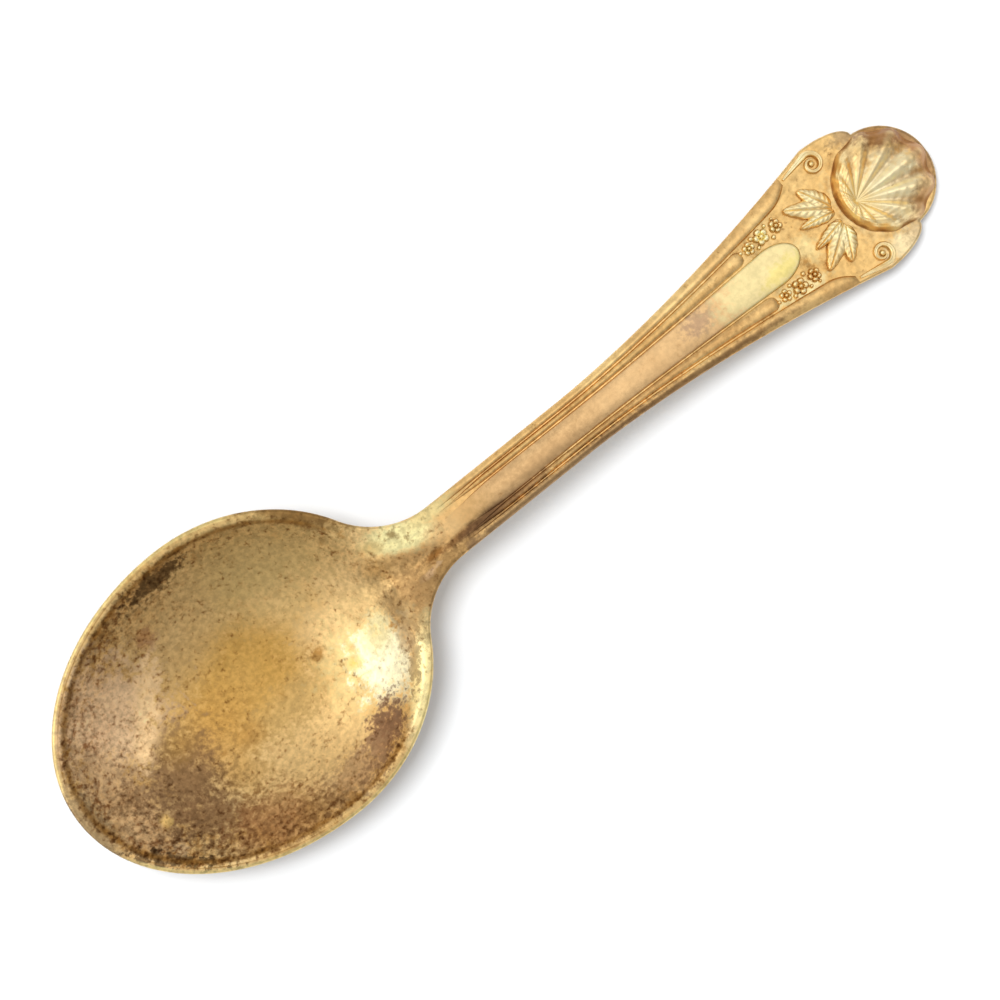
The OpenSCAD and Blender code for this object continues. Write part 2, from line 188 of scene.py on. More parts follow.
class Skin:
    """Points and faces of one mesh, in millimetres, with the wear and the stain at each point.

    Wear runs from 0 in a recess that holds tarnish to 1 on a height that is rubbed bright, and
    stain from below 0 on calm metal to 1 where dark spots gather. In places the wear also
    carries painted shade and painted highlight, and the stain is lowered under a painted highlight.
    """

    def __init__(self) -> None:
        """Starts an empty mesh."""
        self.points: list[Array] = []
        self.wear: list[Array] = []
        self.stain: list[Array] = []
        self.faces: list[list[int]] = []
        self.count = 0

    def add(self, points: Array, wear: Array, stain: Array) -> int:
        """Adds points.

        Args:
            points: Points, one to a row.
            wear: Wear at each point.
            stain: Stain at each point.

        Returns:
            The number of the first point.
        """
        first = self.count
        self.points.append(points)
        self.wear.append(wear)
        self.stain.append(stain)
        self.count += len(points)
        return first

    def loft(self, loops: Array, wear: Array | float, stain: Array | float = 0.0) -> "Skin":
        """Skins closed loops of equal length, with a fan of faces over the first and the last.

        Args:
            loops: Points of the loops, by loop and by place.
            wear: Wear, by loop and by place, or one for all.
            stain: Stain, in the same way.

        Returns:
            This skin.
        """
        rows, columns = loops.shape[:2]
        wear = np.broadcast_to(wear, (rows, columns))
        stain = np.broadcast_to(stain, (rows, columns))
        first = self.add(loops.reshape(-1, 3), wear.ravel(), stain.ravel())
        here = first + np.arange(rows * columns).reshape(rows, columns)
        beside = np.roll(here, -1, axis=1)
        quads = np.stack([here[:-1], beside[:-1], beside[1:], here[1:]], axis=-1)
        self.faces.extend(quads.reshape(-1, 4).tolist())
        for row in (0, -1):
            middle = self.add(loops[row].mean(0)[None], wear[row].mean()[None], stain[row].mean()[None])
            fan = np.stack([here[row], beside[row], np.full(columns, middle)], axis=-1)
            self.faces.extend(fan.tolist())
        return self

    def make(self, name: str, side: Side = Side.LEFT) -> bpy.types.Object:
        """Makes the mesh object.

        Args:
            name: Name of the piece.
            side: Hand of the piece; the points are those of the left hand.

        Returns:
            The object, in metres.
        """
        mesh = bpy.data.meshes.new(name)
        points = np.concatenate(self.points) * np.array([1.0, side.value, 1.0]) * MM
        mesh.from_pydata(points.tolist(), [], self.faces)
        for label, values in ((WEAR, self.wear), (STAIN, self.stain)):
            attribute = mesh.attributes.new(label, "FLOAT", "POINT")
            attribute.data.foreach_set("value", np.concatenate(values).astype(np.float32))
        work = bmesh.new()
        work.from_mesh(mesh)
        bmesh.ops.recalc_face_normals(work, faces=work.faces)
        work.to_mesh(mesh)
        work.free()
        mesh.shade_smooth()
        mesh.set_sharp_from_angle(angle=SHARP_ANGLE)
        piece = bpy.data.objects.new(name, mesh)
        bpy.context.scene.collection.objects.link(piece)
        return piece


@dataclass(frozen=True)
class BowlForm:
    """Sizes and surfaces of the bowl and of the neck that it runs into."""

    overall_l: float = 108.0
    front: float = 22.4
    rear: float = 18.3
    width: float = 32.76
    depth: float = 7.0
    wall: float = 1.1
    rim_w: float = 0.9
    rim_t: float = 1.0
    rim_rise: float = 0.6
    rest_w: float = 8.0
    neck_w: float = 6.0
    neck_t: float = 2.5
    neck_fillet: float = 9.0
    neck_run: float = 8.0
    heel_t: float = 1.0
    hollow_power: float = 2.3
    rim_softness: float = 0.12
    throat_softness: float = 0.9
    throat_start: float = 12.0
    throat_run: float = 7.5
    tongue_start: float = 13.0
    tongue_depth: float = 0.6
    tongue_wide: float = 3.4
    tongue_narrow: float = 0.6
    tongue_shift: float = -1.1
    tongue_rise: float = 3.0
    tongue_fall: float = 3.5
    back_softness: float = 0.9
    least_share: float = 0.05

    @cached_property
    def mid_x(self) -> float:
        """Place of the bowl's widest section."""
        return self.front - self.overall_l / 2.0

    @cached_property
    def half(self) -> float:
        """Half of the bowl's width."""
        return self.width / 2.0

    @cached_property
    def neck_half(self) -> float:
        """Half of the neck's width."""
        return self.neck_w / 2.0

    def oval_point(self, angle: Array) -> Array:
        """Returns the places on the oval at angles from the neck, in radians."""
        reach = np.where(np.cos(angle) > 0.0, self.rear, self.front)
        return np.stack([self.mid_x + reach * np.cos(angle), self.half * np.sin(angle)], axis=-1)

    def oval_normal(self, angle: Array) -> Array:
        """Works out the directions out of the oval.

        Args:
            angle: Angles from the neck, in radians.

        Returns:
            Directions of length 1, one to an angle.
        """
        reach = np.where(np.cos(angle) > 0.0, self.rear, self.front)
        out = np.stack([np.cos(angle) / reach, np.sin(angle) / self.half], axis=-1)
        return out / np.linalg.norm(out, axis=-1, keepdims=True)

    @cached_property
    def fillet_angle(self) -> float:
        """Angle on the oval at which the neck's fillet starts.

        Returns:
            The angle from the neck, in radians.
        """
        def miss(angle: float) -> float:
            """Returns how far beyond the neck's side a fillet from this angle would end."""
            out = self.oval_normal(np.array(angle))[1] - 1.0
            return self.oval_point(np.array(angle))[1] + self.neck_fillet * out - self.neck_half
        return solve(miss, 0.0, math.pi / 2.0)

    @cached_property
    def fillet_mid(self) -> Array:
        """Middle of the left fillet."""
        angle = np.array(self.fillet_angle)
        return self.oval_point(angle) + self.neck_fillet * self.oval_normal(angle)

    @cached_property
    def joint_x(self) -> float:
        """Place where the bowl meets the stem."""
        return float(self.fillet_mid[0])

    def rim_z(self, x: Array) -> Array:
        """Returns the height of the rim's plane."""
        return self.wall + self.depth + self.rim_rise * (x - self.mid_x) / self.rear

    def edge_t(self, x: Array) -> Array:
        """Returns the thickness of the rim, which grows towards the neck."""
        near = clamp01(1.0 - (self.joint_x - x) / self.neck_run)
        return self.rim_t + (self.neck_t - self.heel_t - self.rim_t) * near ** 2

    def oval_share(self, x: Array, y: Array, inset: float) -> Array:
        """Returns how far out a place lies, with 1 on the oval less an inset."""
        reach = np.where(x > self.mid_x, self.rear, self.front) - inset
        return np.hypot((x - self.mid_x) / reach, y / (self.half - inset))

    def throat(self, x: Array) -> Array:
        """Returns a share that grows from the bowl into the throat."""
        return ease((x - self.mid_x - self.throat_start) / self.throat_run)

    def tongue(self, x: Array, y: Array) -> Array:
        """Works out the groove that runs out of the hollow into the neck.

        Args:
            x: Places along the spoon.
            y: Places across it.

        Returns:
            Its depth.
        """
        start = self.mid_x + self.tongue_start
        share = clamp01((x - start) / (self.joint_x - start))
        half = between(share, self.tongue_wide, self.tongue_narrow)
        off = np.abs(y - self.tongue_shift * ease(share))
        across = np.cos(math.pi / 2.0 * clamp01(off / half)) ** 2
        depth = self.tongue_depth * ease(share * self.tongue_rise)
        return depth * ease((1.0 - share) * self.tongue_fall) * across

    def top_z(self, x: Array, y: Array) -> Array:
        """Works out the bowl's upper side: the hollow, the rim's land and the throat.

        Args:
            x: Places along the spoon.
            y: Places across it.

        Returns:
            Its height.
        """
        softness = between(self.throat(x), self.rim_softness, self.throat_softness) / self.half
        inside = soft_corner(1.0 - self.oval_share(x, y, self.rim_w), softness)
        hollow = self.depth * (1.0 - clamp01(1.0 - inside) ** self.hollow_power)
        return self.rim_z(x) - hollow - self.tongue(x, y)

    def back_z(self, x: Array, y: Array) -> Array:
        """Works out the back, which is flat where the bowl rests.

        Args:
            x: Places along the spoon.
            y: Places across it.

        Returns:
            Its height.
        """
        share = self.oval_share(x, y, 0.0)
        softness = between(self.throat(x), self.rim_softness, self.back_softness) / self.half
        soft_share = clamp01(1.0 - soft_corner(1.0 - share, softness))
        edge_x = self.mid_x + (x - self.mid_x) / np.clip(share, self.least_share, 1.0)
        rest = (self.rest_w / self.width) ** self.hollow_power
        rise = np.maximum(soft_share ** self.hollow_power - rest, 0.0) / (1.0 - rest)
        return (self.rim_z(edge_x) - self.edge_t(edge_x)) * rise


@dataclass(frozen=True)
class HandleForm:
    """Sizes and surfaces of the handle, from the neck to the shell's seat."""

    bowl: BowlForm
    arch_r: float = 150.0
    blade_fall: float = math.radians(10.0)
    blade_t: float = 1.5
    thin_l: float = 26.0
    under_crown: float = 0.35
    tip_sink: float = 0.15
    least_lift: float = math.radians(-20.0)
    most_lift: float = math.radians(40.0)
    shoulder_w: float = 15.0
    shoulder_l: float = 10.3
    flare_l: float = 35.0
    flare_power: float = 1.75
    seat_r: float = 5.6
    end_angle: float = math.radians(8.0)
    notch_angle: float = math.radians(85.0)

    @cached_property
    def tip_x(self) -> float:
        """End of the handle."""
        return self.bowl.overall_l / 2.0

    @cached_property
    def joint_z(self) -> float:
        """Height of the deck where the stem meets the bowl."""
        return float(self.bowl.rim_z(self.bowl.joint_x))

    def arch_end(self, lift: float) -> Pair:
        """Works out where the arch turns into the straight blade.

        Args:
            lift: First slope of the stem, in radians.

        Returns:
            Place along the spoon, and height.
        """
        run = self.arch_r * (math.sin(lift) + math.sin(self.blade_fall))
        rise = self.arch_r * (math.cos(self.blade_fall) - math.cos(lift))
        return self.bowl.joint_x + run, self.joint_z + rise

    @cached_property
    def lift(self) -> float:
        """First slope of the stem, at which the blade's end comes down to the table.

        Returns:
            The slope, in radians.
        """
        def miss(lift: float) -> float:
            """Works out how high over the table the blade's end would lie.

            Args:
                lift: First slope of the stem, in radians.

            Returns:
                The height.
            """
            x, z = self.arch_end(lift)
            drop = (self.tip_x - x) * math.tan(self.blade_fall)
            return z - drop - self.blade_t + self.tip_sink
        return solve(miss, self.least_lift, self.most_lift)

    def deck_z(self, x: Array) -> Array:
        """Works out the deck that carries the mouldings: an arch, then a straight blade.

        Args:
            x: Places along the spoon.

        Returns:
            Its height.
        """
        end_x, end_z = self.arch_end(self.lift)
        mid_x = self.bowl.joint_x + self.arch_r * math.sin(self.lift)
        mid_z = self.joint_z - self.arch_r * math.cos(self.lift)
        arch = mid_z + np.sqrt(np.maximum(self.arch_r ** 2 - (x - mid_x) ** 2, 0.0))
        return np.where(x > end_x, end_z - (x - end_x) * math.tan(self.blade_fall), arch)

    @cached_property
    def shoulder_x(self) -> float:
        """Place of the shoulders' widest section."""
        return self.tip_x - self.shoulder_l

    @cached_property
    def flare_x(self) -> float:
        """Place where the handle starts to flare."""
        return self.shoulder_x - self.flare_l

    @cached_property
    def seat_x(self) -> float:
        """Middle of the round end that carries the shell."""
        return self.tip_x - self.seat_r * math.cos(self.end_angle)

    @cached_property
    def notch(self) -> Pair:
        """Place where a shoulder meets the round end."""
        return (self.seat_x + self.seat_r * math.cos(self.notch_angle),
                self.seat_r * math.sin(self.notch_angle))

    def grow(self, x: Array, end_x: float) -> Array:
        """Returns the flare's share of growth up to a place."""
        return clamp01((x - self.flare_x) / (end_x - self.flare_x)) ** self.flare_power

    def half_at(self, x: Array) -> Array:
        """Works out the handle's plan: a flare, a rounded shoulder and a round end.

        Args:
            x: Places along the spoon.

        Returns:
            Half of its width.
        """
        notch_x, notch_y = self.notch
        shoulder = self.shoulder_w / 2.0
        neck = self.bowl.neck_half
        flare = neck + (shoulder - neck) * self.grow(x, self.shoulder_x)
        past = (x - self.shoulder_x) / (notch_x - self.shoulder_x)
        lobe = notch_y + (shoulder - notch_y) * quarter(past)
        seat = self.seat_r * quarter((x - self.seat_x) / self.seat_r)
        return np.where(x <= self.shoulder_x, flare, np.where(x <= notch_x, lobe, seat))

    def edge_distance(self, x: Array, y: Array) -> Array:
        """Works out how far inside the handle's outline places lie.

        Args:
            x: Places along the spoon.
            y: Places across it.

        Returns:
            Distance in from the edge.
        """
        notch_x, notch_y = self.notch
        run = notch_x - self.shoulder_x
        rise = self.shoulder_w / 2.0 - notch_y
        along = np.maximum(x - self.shoulder_x, 0.0) / run
        across = np.maximum(np.abs(y) - notch_y, 0.0) / rise
        share = np.hypot(along, across)
        steep = np.hypot(along / run, across / rise) / np.maximum(share, SMALL)
        lobe = np.where(x < notch_x, (1.0 - share) / np.maximum(steep, SMALL), 0.0)
        side = np.where(x <= self.shoulder_x, self.half_at(x) - np.abs(y), lobe)
        seat = self.seat_r - np.hypot(x - self.seat_x, y)
        return np.maximum(np.maximum(side, seat), 0.0)

    def under_z(self, x: Array, y: Array) -> Array:
        """Works out the underside, worn flat where it rests.

        Args:
            x: Places along the spoon.
            y: Places across it.

        Returns:
            Its height.
        """
        thin = clamp01((x - self.bowl.joint_x) / self.thin_l)
        thick = self.blade_t + (self.bowl.neck_t - self.blade_t) * (1.0 - thin) ** 2
        across = y / np.maximum(self.half_at(x), SMALL)
        return np.maximum(self.deck_z(x) - thick + self.under_crown * thin * across ** 2, 0.0)

    def on_blade(self, points: Array, x: float, y: float, turn: float = 0.0) -> Array:
        """Stands relief on the blade.

        Args:
            points: Points with X down the blade and Z square to it.
            x: Place along the spoon.
            y: Place across it.
            turn: Turn about the relief's own upright, in radians.

        Returns:
            The points in the spoon's frame.
        """
        place = Matrix.Translation((x, y, float(self.deck_z(np.array(x)))))
        tilt = Matrix.Rotation(self.blade_fall, 4, "Y")
        move = np.array(place @ tilt @ Matrix.Rotation(turn, 4, "Z"))
        return points @ move[:3, :3].T + move[:3, 3]


@dataclass(frozen=True)
class Patch:
    """A soft-edged oval of another tone, seen from above; patches paint stains and also highlights and
    shade.

    Attributes:
        x: Place of its middle along the spoon.
        y: Place of its middle across the spoon.
        length: Half of its length.
        width: Half of its width.
        turn: Turn of its length from the spoon's, in degrees.
        tint: Colour code.
        share: How strongly it covers.
        edge: Softness of its edge, as a share of its size.
        fray: How far its edge breaks up, as a share of its size.
    """

    x: float
    y: float
    length: float
    width: float
    turn: float
    tint: str
    share: float = 0.7
    edge: float = 0.5
    fray: float = 0.4


@dataclass(frozen=True)
class Grain:
    """Make-up of one cloud of noise.

    Attributes:
        scale: Clouds to a millimetre.
        detail: Number of finer layers.
        roughness: Strength of the finer layers.
        shift: Move along the first axis, so that two clouds don't match.
        stretch: Scale along each axis.
        turn: Turn of the axes about the upright, in radians.
    """

    scale: float
    detail: float
    roughness: float
    shift: float = 0.0
    stretch: Triple = (1.0, 1.0, 1.0)
    turn: float = 0.0


class NodeKit:
    """Adds and links the nodes of one material, with places measured in millimetres."""

    def __init__(self, name: str) -> None:
        """Starts a material with its surface shader and its output.

        Args:
            name: Name of the material.
        """
        self.material = bpy.data.materials.new(name)
        self.material.use_nodes = True
        self.tree = self.material.node_tree
        self.tree.nodes.clear()
        self.surface = self.add("ShaderNodeBsdfPrincipled")
        output = self.add("ShaderNodeOutputMaterial")
        self.tree.links.new(self.surface.outputs["BSDF"], output.inputs["Surface"])

    @cached_property
    def source(self) -> bpy.types.Node:
        """Node that gives places and directions on the piece itself."""
        return self.add("ShaderNodeTexCoord")

    @cached_property
    def place(self) -> bpy.types.NodeSocket:
        """Place on the piece.

        Returns:
            The output, in millimetres.
        """
        scale = self.add("ShaderNodeVectorMath", operation="SCALE")
        self.feed(scale.inputs[0], self.source.outputs["Object"])
        scale.inputs["Scale"].default_value = 1.0 / MM
        return scale.outputs["Vector"]

    @cached_property
    def upward(self) -> bpy.types.NodeSocket:
        """Share that falls from 1 on faces that look up to 0 on those that look down.

        Returns:
            The output.
        """
        parts = self.add("ShaderNodeSeparateXYZ")
        self.feed(parts.inputs[0], self.source.outputs["Normal"])
        return self.steps(parts.outputs["Z"], FACING_LOW, FACING_HIGH)

    def add(self, kind: str, **settings: object) -> bpy.types.Node:
        """Adds a node.

        Args:
            kind: Blender's name of the kind of node.
            settings: Values of its properties, by name.

        Returns:
            The node.
        """
        node = self.tree.nodes.new(kind)
        for key, value in settings.items():
            setattr(node, key, value)
        return node

    def feed(self, socket: bpy.types.NodeSocket, value: object) -> None:
        """Links an output into a socket, or sets the socket to a constant.

        Args:
            socket: The socket.
            value: The output or the constant.
        """
        if isinstance(value, bpy.types.NodeSocket):
            self.tree.links.new(value, socket)
        else:
            socket.default_value = value

    def math(self, operation: str, *terms: object) -> bpy.types.NodeSocket:
        """Adds a sum.

        Args:
            operation: Blender's name of the sum.
            terms: One, two or three outputs or constants.

        Returns:
            The output.
        """
        node = self.add("ShaderNodeMath", operation=operation)
        for socket, term in zip(node.inputs, terms):
            self.feed(socket, term)
        return node.outputs[0]

    def noise(self, grain: Grain) -> bpy.types.NodeSocket:
        """Adds a cloud of noise.

        Args:
            grain: The cloud's make-up.

        Returns:
            The output, from 0 to 1.
        """
        mapping = self.add("ShaderNodeMapping")
        mapping.inputs["Scale"].default_value = grain.stretch
        mapping.inputs["Rotation"].default_value = (0.0, 0.0, grain.turn)
        mapping.inputs["Location"].default_value = (grain.shift, 0.0, 0.0)
        self.feed(mapping.inputs["Vector"], self.place)
        node = self.add("ShaderNodeTexNoise")
        self.feed(node.inputs["Vector"], mapping.outputs["Vector"])
        node.inputs["Scale"].default_value = grain.scale
        node.inputs["Detail"].default_value = grain.detail
        node.inputs["Roughness"].default_value = grain.roughness
        return node.outputs["Fac"]

    def steps(self, value: object, low: float, high: float,
              start: float = 0.0, end: float = 1.0) -> bpy.types.NodeSocket:
        """Adds a smooth step.

        Args:
            value: The output or constant that it follows.
            low: Value at which it starts.
            high: Value at which it ends.
            start: What it gives up to its start.
            end: What it gives from its end on.

        Returns:
            The output.
        """
        node = self.add("ShaderNodeMapRange", interpolation_type="SMOOTHSTEP")
        for socket, number in zip(node.inputs, (value, low, high, start, end)):
            self.feed(socket, number)
        return node.outputs["Result"]

    def mix(self, share: object, first: object, second: object,
            blend: str = "MIX") -> bpy.types.NodeSocket:
        """Adds a mixture of two colours.

        Args:
            share: How far it goes from the first colour to what the second makes of it.
            first: The first colour, as an output or a constant.
            second: The second colour, in the same way.
            blend: Blender's name of the way to mix them.

        Returns:
            The mixed colour.
        """
        node = self.add("ShaderNodeMix", data_type="RGBA", blend_type=blend)
        self.feed(node.inputs["Factor"], share)
        self.feed(node.inputs[MIX_FIRST], first)
        self.feed(node.inputs[MIX_SECOND], second)
        return node.outputs[MIX_RESULT]

    def attribute(self, label: str) -> bpy.types.NodeSocket:
        """Returns a value that the mesh carries at its points."""
        return self.add("ShaderNodeAttribute", attribute_name=label).outputs["Fac"]

    def cover(self, patch: Patch, wander: bpy.types.NodeSocket) -> bpy.types.NodeSocket:
        """Works out how strongly a patch covers each place.

        Args:
            patch: The patch.
            wander: Noise from -1 to 1 that frays the patch's edge.

        Returns:
            The patch's share.
        """
        mapping = self.add("ShaderNodeMapping", vector_type="TEXTURE")
        mapping.inputs["Location"].default_value = (patch.x, patch.y, 0.0)
        mapping.inputs["Rotation"].default_value = (0.0, 0.0, math.radians(patch.turn))
        mapping.inputs["Scale"].default_value = (patch.length, patch.width, PATCH_DEPTH)
        self.feed(mapping.inputs["Vector"], self.place)
        reach = self.add("ShaderNodeVectorMath", operation="LENGTH")
        self.feed(reach.inputs[0], mapping.outputs["Vector"])
        frayed = self.math("MULTIPLY_ADD", wander, patch.fray, reach.outputs["Value"])
        share = self.steps(frayed, 1.0 - patch.edge, 1.0 + patch.edge, patch.share, 0.0)
        return self.math("MULTIPLY", share, self.upward)


@dataclass(frozen=True)
class Patina:
    """How age marks the gilding, alike on all pieces.

    The grains are the noise of paler clouds, of dull clouds and frayed edges, of brightness, of dark
    spots, of the places where spots gather, and of scratches. A span holds the values between which
    a mark sets in or fades out, a swing is how far it goes each way, a share is its strength, and a
    name that ends in h is a height of relief.
    """

    cloud: Grain = Grain(0.14, 6.0, 0.6)
    ragged: Grain = Grain(0.62, 8.0, 0.72, 17.0)
    mottle: Grain = Grain(1.7, 4.0, 0.62, 41.0)
    fleck: Grain = Grain(2.0, 3.0, 0.58, 9.0)
    gather: Grain = Grain(0.4, 6.0, 0.68, 57.0)
    scratch: Grain = Grain(1.0, 2.0, 0.5, stretch=(0.22, 6.5, 1.0))
    scratch_turns: Pair = (0.5, -0.9)
    cloud_span: Pair = (0.34, 0.64)
    middle_span: Pair = (0.25, 0.75)
    dull_span: Pair = (0.68, 0.8)
    dull_tarnish: float = 0.24
    dull_stain: float = 0.1
    dull_share: float = 0.9
    coarse_swing: float = 0.7
    fine_swing: float = 0.6
    wear_fray: float = -0.14
    rub_span: Pair = (0.7, 1.05)
    recess_share: float = 0.9
    crowd_stain: float = 0.26
    crowd_pull: float = -0.55
    clear_pull: float = 0.1
    speck_span: Pair = (-0.12, 0.2)
    speck_share: float = 0.9
    speck_rub_span: Pair = (0.72, 0.9)
    speck_rub_share: float = 0.3
    swell_span: Pair = (0.3, 0.7)
    gloss_swing: Pair = (-0.06, 0.08)
    speck_rough: float = 0.2
    recess_rough: float = 0.15
    fleck_h: float = 0.4
    mottle_h: float = 0.6
    pit_h: float = -0.25
    scratch_span: Pair = (0.66, 0.78)
    scratch_h: float = 0.25
    relief_share: float = 0.22
    relief_h: float = 0.05


@dataclass(frozen=True)
class GiltFinish:
    """Worn gilding with tarnish in its recesses, dark spots, stains and fine scratches.

    Attributes:
        name: Name of the material.
        gold: Main colour.
        pale: Colour of its paler clouds.
        bright: Colour where the gilding is rubbed, or the paler colour if empty.
        dull: What a dull cloud leaves of the colour.
        recess: Colour of the tarnish in recesses.
        spot: What a dark spot leaves of the colour.
        gloss: Roughness of clean metal.
        tarnish: Share of the surface that is dull.
        mottling: How much the brightness changes from place to place.
        spots: How readily spots gather in a stained place.
        rub: How strongly rubbed places brighten.
        recess_low: Wear under which a place is fully tarnished.
        recess_high: Wear over which a place is clean.
        patches: Stains and rubbed places, and painted highlights and painted shade.
        patina: Marks of age that all pieces share.
    """

    name: str
    gold: str
    pale: str
    bright: str = ""
    dull: str = "#d2c4b4"
    recess: str = "#94692f"
    spot: str = "#9c8068"
    gloss: float = 0.36
    tarnish: float = 0.5
    mottling: float = 0.12
    spots: float = 0.4
    rub: float = 0.65
    recess_low: float = 0.0
    recess_high: float = 0.5
    patches: tuple[Patch, ...] = ()
    patina: Patina = Patina()

    def make(self) -> bpy.types.Material:
        """Builds the material from noise, patches and the mesh's own wear.

        Returns:
            The material.
        """
        age = self.patina
        kit = NodeKit(self.name)
        cloud = kit.noise(age.cloud)
        ragged = kit.noise(age.ragged)
        mottle = kit.noise(age.mottle)
        fleck = kit.noise(age.fleck)
        gather = kit.noise(age.gather)
        wear = kit.attribute(WEAR)
        stain = kit.attribute(STAIN)

        colour = kit.mix(kit.steps(cloud, *age.cloud_span), linear(self.gold), linear(self.pale))
        level = kit.math("MULTIPLY_ADD", stain, age.dull_stain, ragged)
        dull_low, dull_high = (edge - age.dull_tarnish * self.tarnish for edge in age.dull_span)
        dull = kit.steps(level, dull_low, dull_high, 0.0, age.dull_share)
        colour = kit.mix(dull, colour, linear(self.dull), "MULTIPLY")
        coarse = kit.steps(ragged, *age.middle_span, -age.coarse_swing, age.coarse_swing)
        fine = kit.steps(mottle, *age.middle_span, -age.fine_swing, age.fine_swing)
        wander = kit.math("ADD", coarse, fine)
        for patch in self.patches:
            colour = kit.mix(kit.cover(patch, wander), colour, linear(patch.tint))
        frayed_wear = kit.math("MULTIPLY_ADD", coarse, age.wear_fray, wear)
        rubbed = kit.steps(frayed_wear, *age.rub_span, 0.0, self.rub)
        colour = kit.mix(rubbed, colour, linear(self.bright or self.pale))
        recess = kit.steps(frayed_wear, self.recess_low, self.recess_high, age.recess_share, 0.0)
        colour = kit.mix(recess, colour, linear(self.recess))

        crowd = kit.math("MULTIPLY_ADD", stain, age.crowd_stain * self.spots, gather)
        level = kit.math("MULTIPLY_ADD", crowd, age.crowd_pull, fleck)
        clear = age.clear_pull * (1.0 - self.spots)
        speck_low, speck_high = (edge - clear for edge in age.speck_span)
        speck = kit.steps(level, speck_low, speck_high, age.speck_share, 0.0)
        kept = kit.steps(wear, *age.speck_rub_span, 1.0, age.speck_rub_share)
        speck = kit.math("MULTIPLY", speck, kept)
        colour = kit.mix(speck, colour, linear(self.spot), "MULTIPLY")
        shade = kit.add("ShaderNodeHueSaturation")
        swing = kit.math("MULTIPLY_ADD", stain, self.mottling, self.mottling)
        swell = kit.steps(mottle, *age.swell_span, -1.0, 1.0)
        kit.feed(shade.inputs["Value"], kit.math("MULTIPLY_ADD", swell, swing, 1.0))
        kit.feed(shade.inputs["Color"], colour)
        kit.feed(kit.surface.inputs["Base Color"], shade.outputs["Color"])

        kit.surface.inputs["Metallic"].default_value = 1.0
        smooth, rough = (self.gloss + change for change in age.gloss_swing)
        roughness = kit.steps(ragged, *age.middle_span, smooth, rough)
        roughness = kit.math("MULTIPLY_ADD", speck, age.speck_rough, roughness)
        roughness = kit.math("MULTIPLY_ADD", recess, age.recess_rough, roughness)
        kit.feed(kit.surface.inputs["Roughness"], roughness)
        self.roughen(kit, mottle, fleck, speck)
        return kit.material

    def roughen(self, kit: NodeKit, mottle: bpy.types.NodeSocket, fleck: bpy.types.NodeSocket,
                speck: bpy.types.NodeSocket) -> None:
        """Adds grain, pits and two sets of fine scratches to the surface.

        Args:
            kit: The material's nodes.
            mottle: Noise of the coarser grain.
            fleck: Noise of the finer grain.
            speck: Share of dark spots, which are pits.
        """
        age = self.patina
        height = kit.math("MULTIPLY", fleck, age.fleck_h)
        height = kit.math("MULTIPLY_ADD", mottle, age.mottle_h, height)
        height = kit.math("MULTIPLY_ADD", speck, age.pit_h, height)
        for turn in age.scratch_turns:
            line = kit.noise(replace(age.scratch, turn=turn))
            depth = kit.steps(line, *age.scratch_span, 0.0, age.scratch_h)
            height = kit.math("SUBTRACT", height, depth)
        bump = kit.add("ShaderNodeBump")
        bump.inputs["Strength"].default_value = age.relief_share
        bump.inputs["Distance"].default_value = age.relief_h * MM
        kit.feed(bump.inputs["Height"], height)
        kit.feed(kit.surface.inputs["Normal"], bump.outputs["Normal"])


def settle(piece: bpy.types.Object, node: str, slot: Slot, finish: bpy.types.Material) -> None:
    """Seats a piece in the frame in place of its solid.

    Args:
        piece: The piece.
        node: Name of the solid that it stands for.
        slot: Not used.
        finish: Its material.
    """
    piece.data.materials.append(finish)
    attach(piece, BODY)
    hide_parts(node)
    LOG.info("%s: %d faces in place of %s", piece.name, len(piece.data.polygons), node)


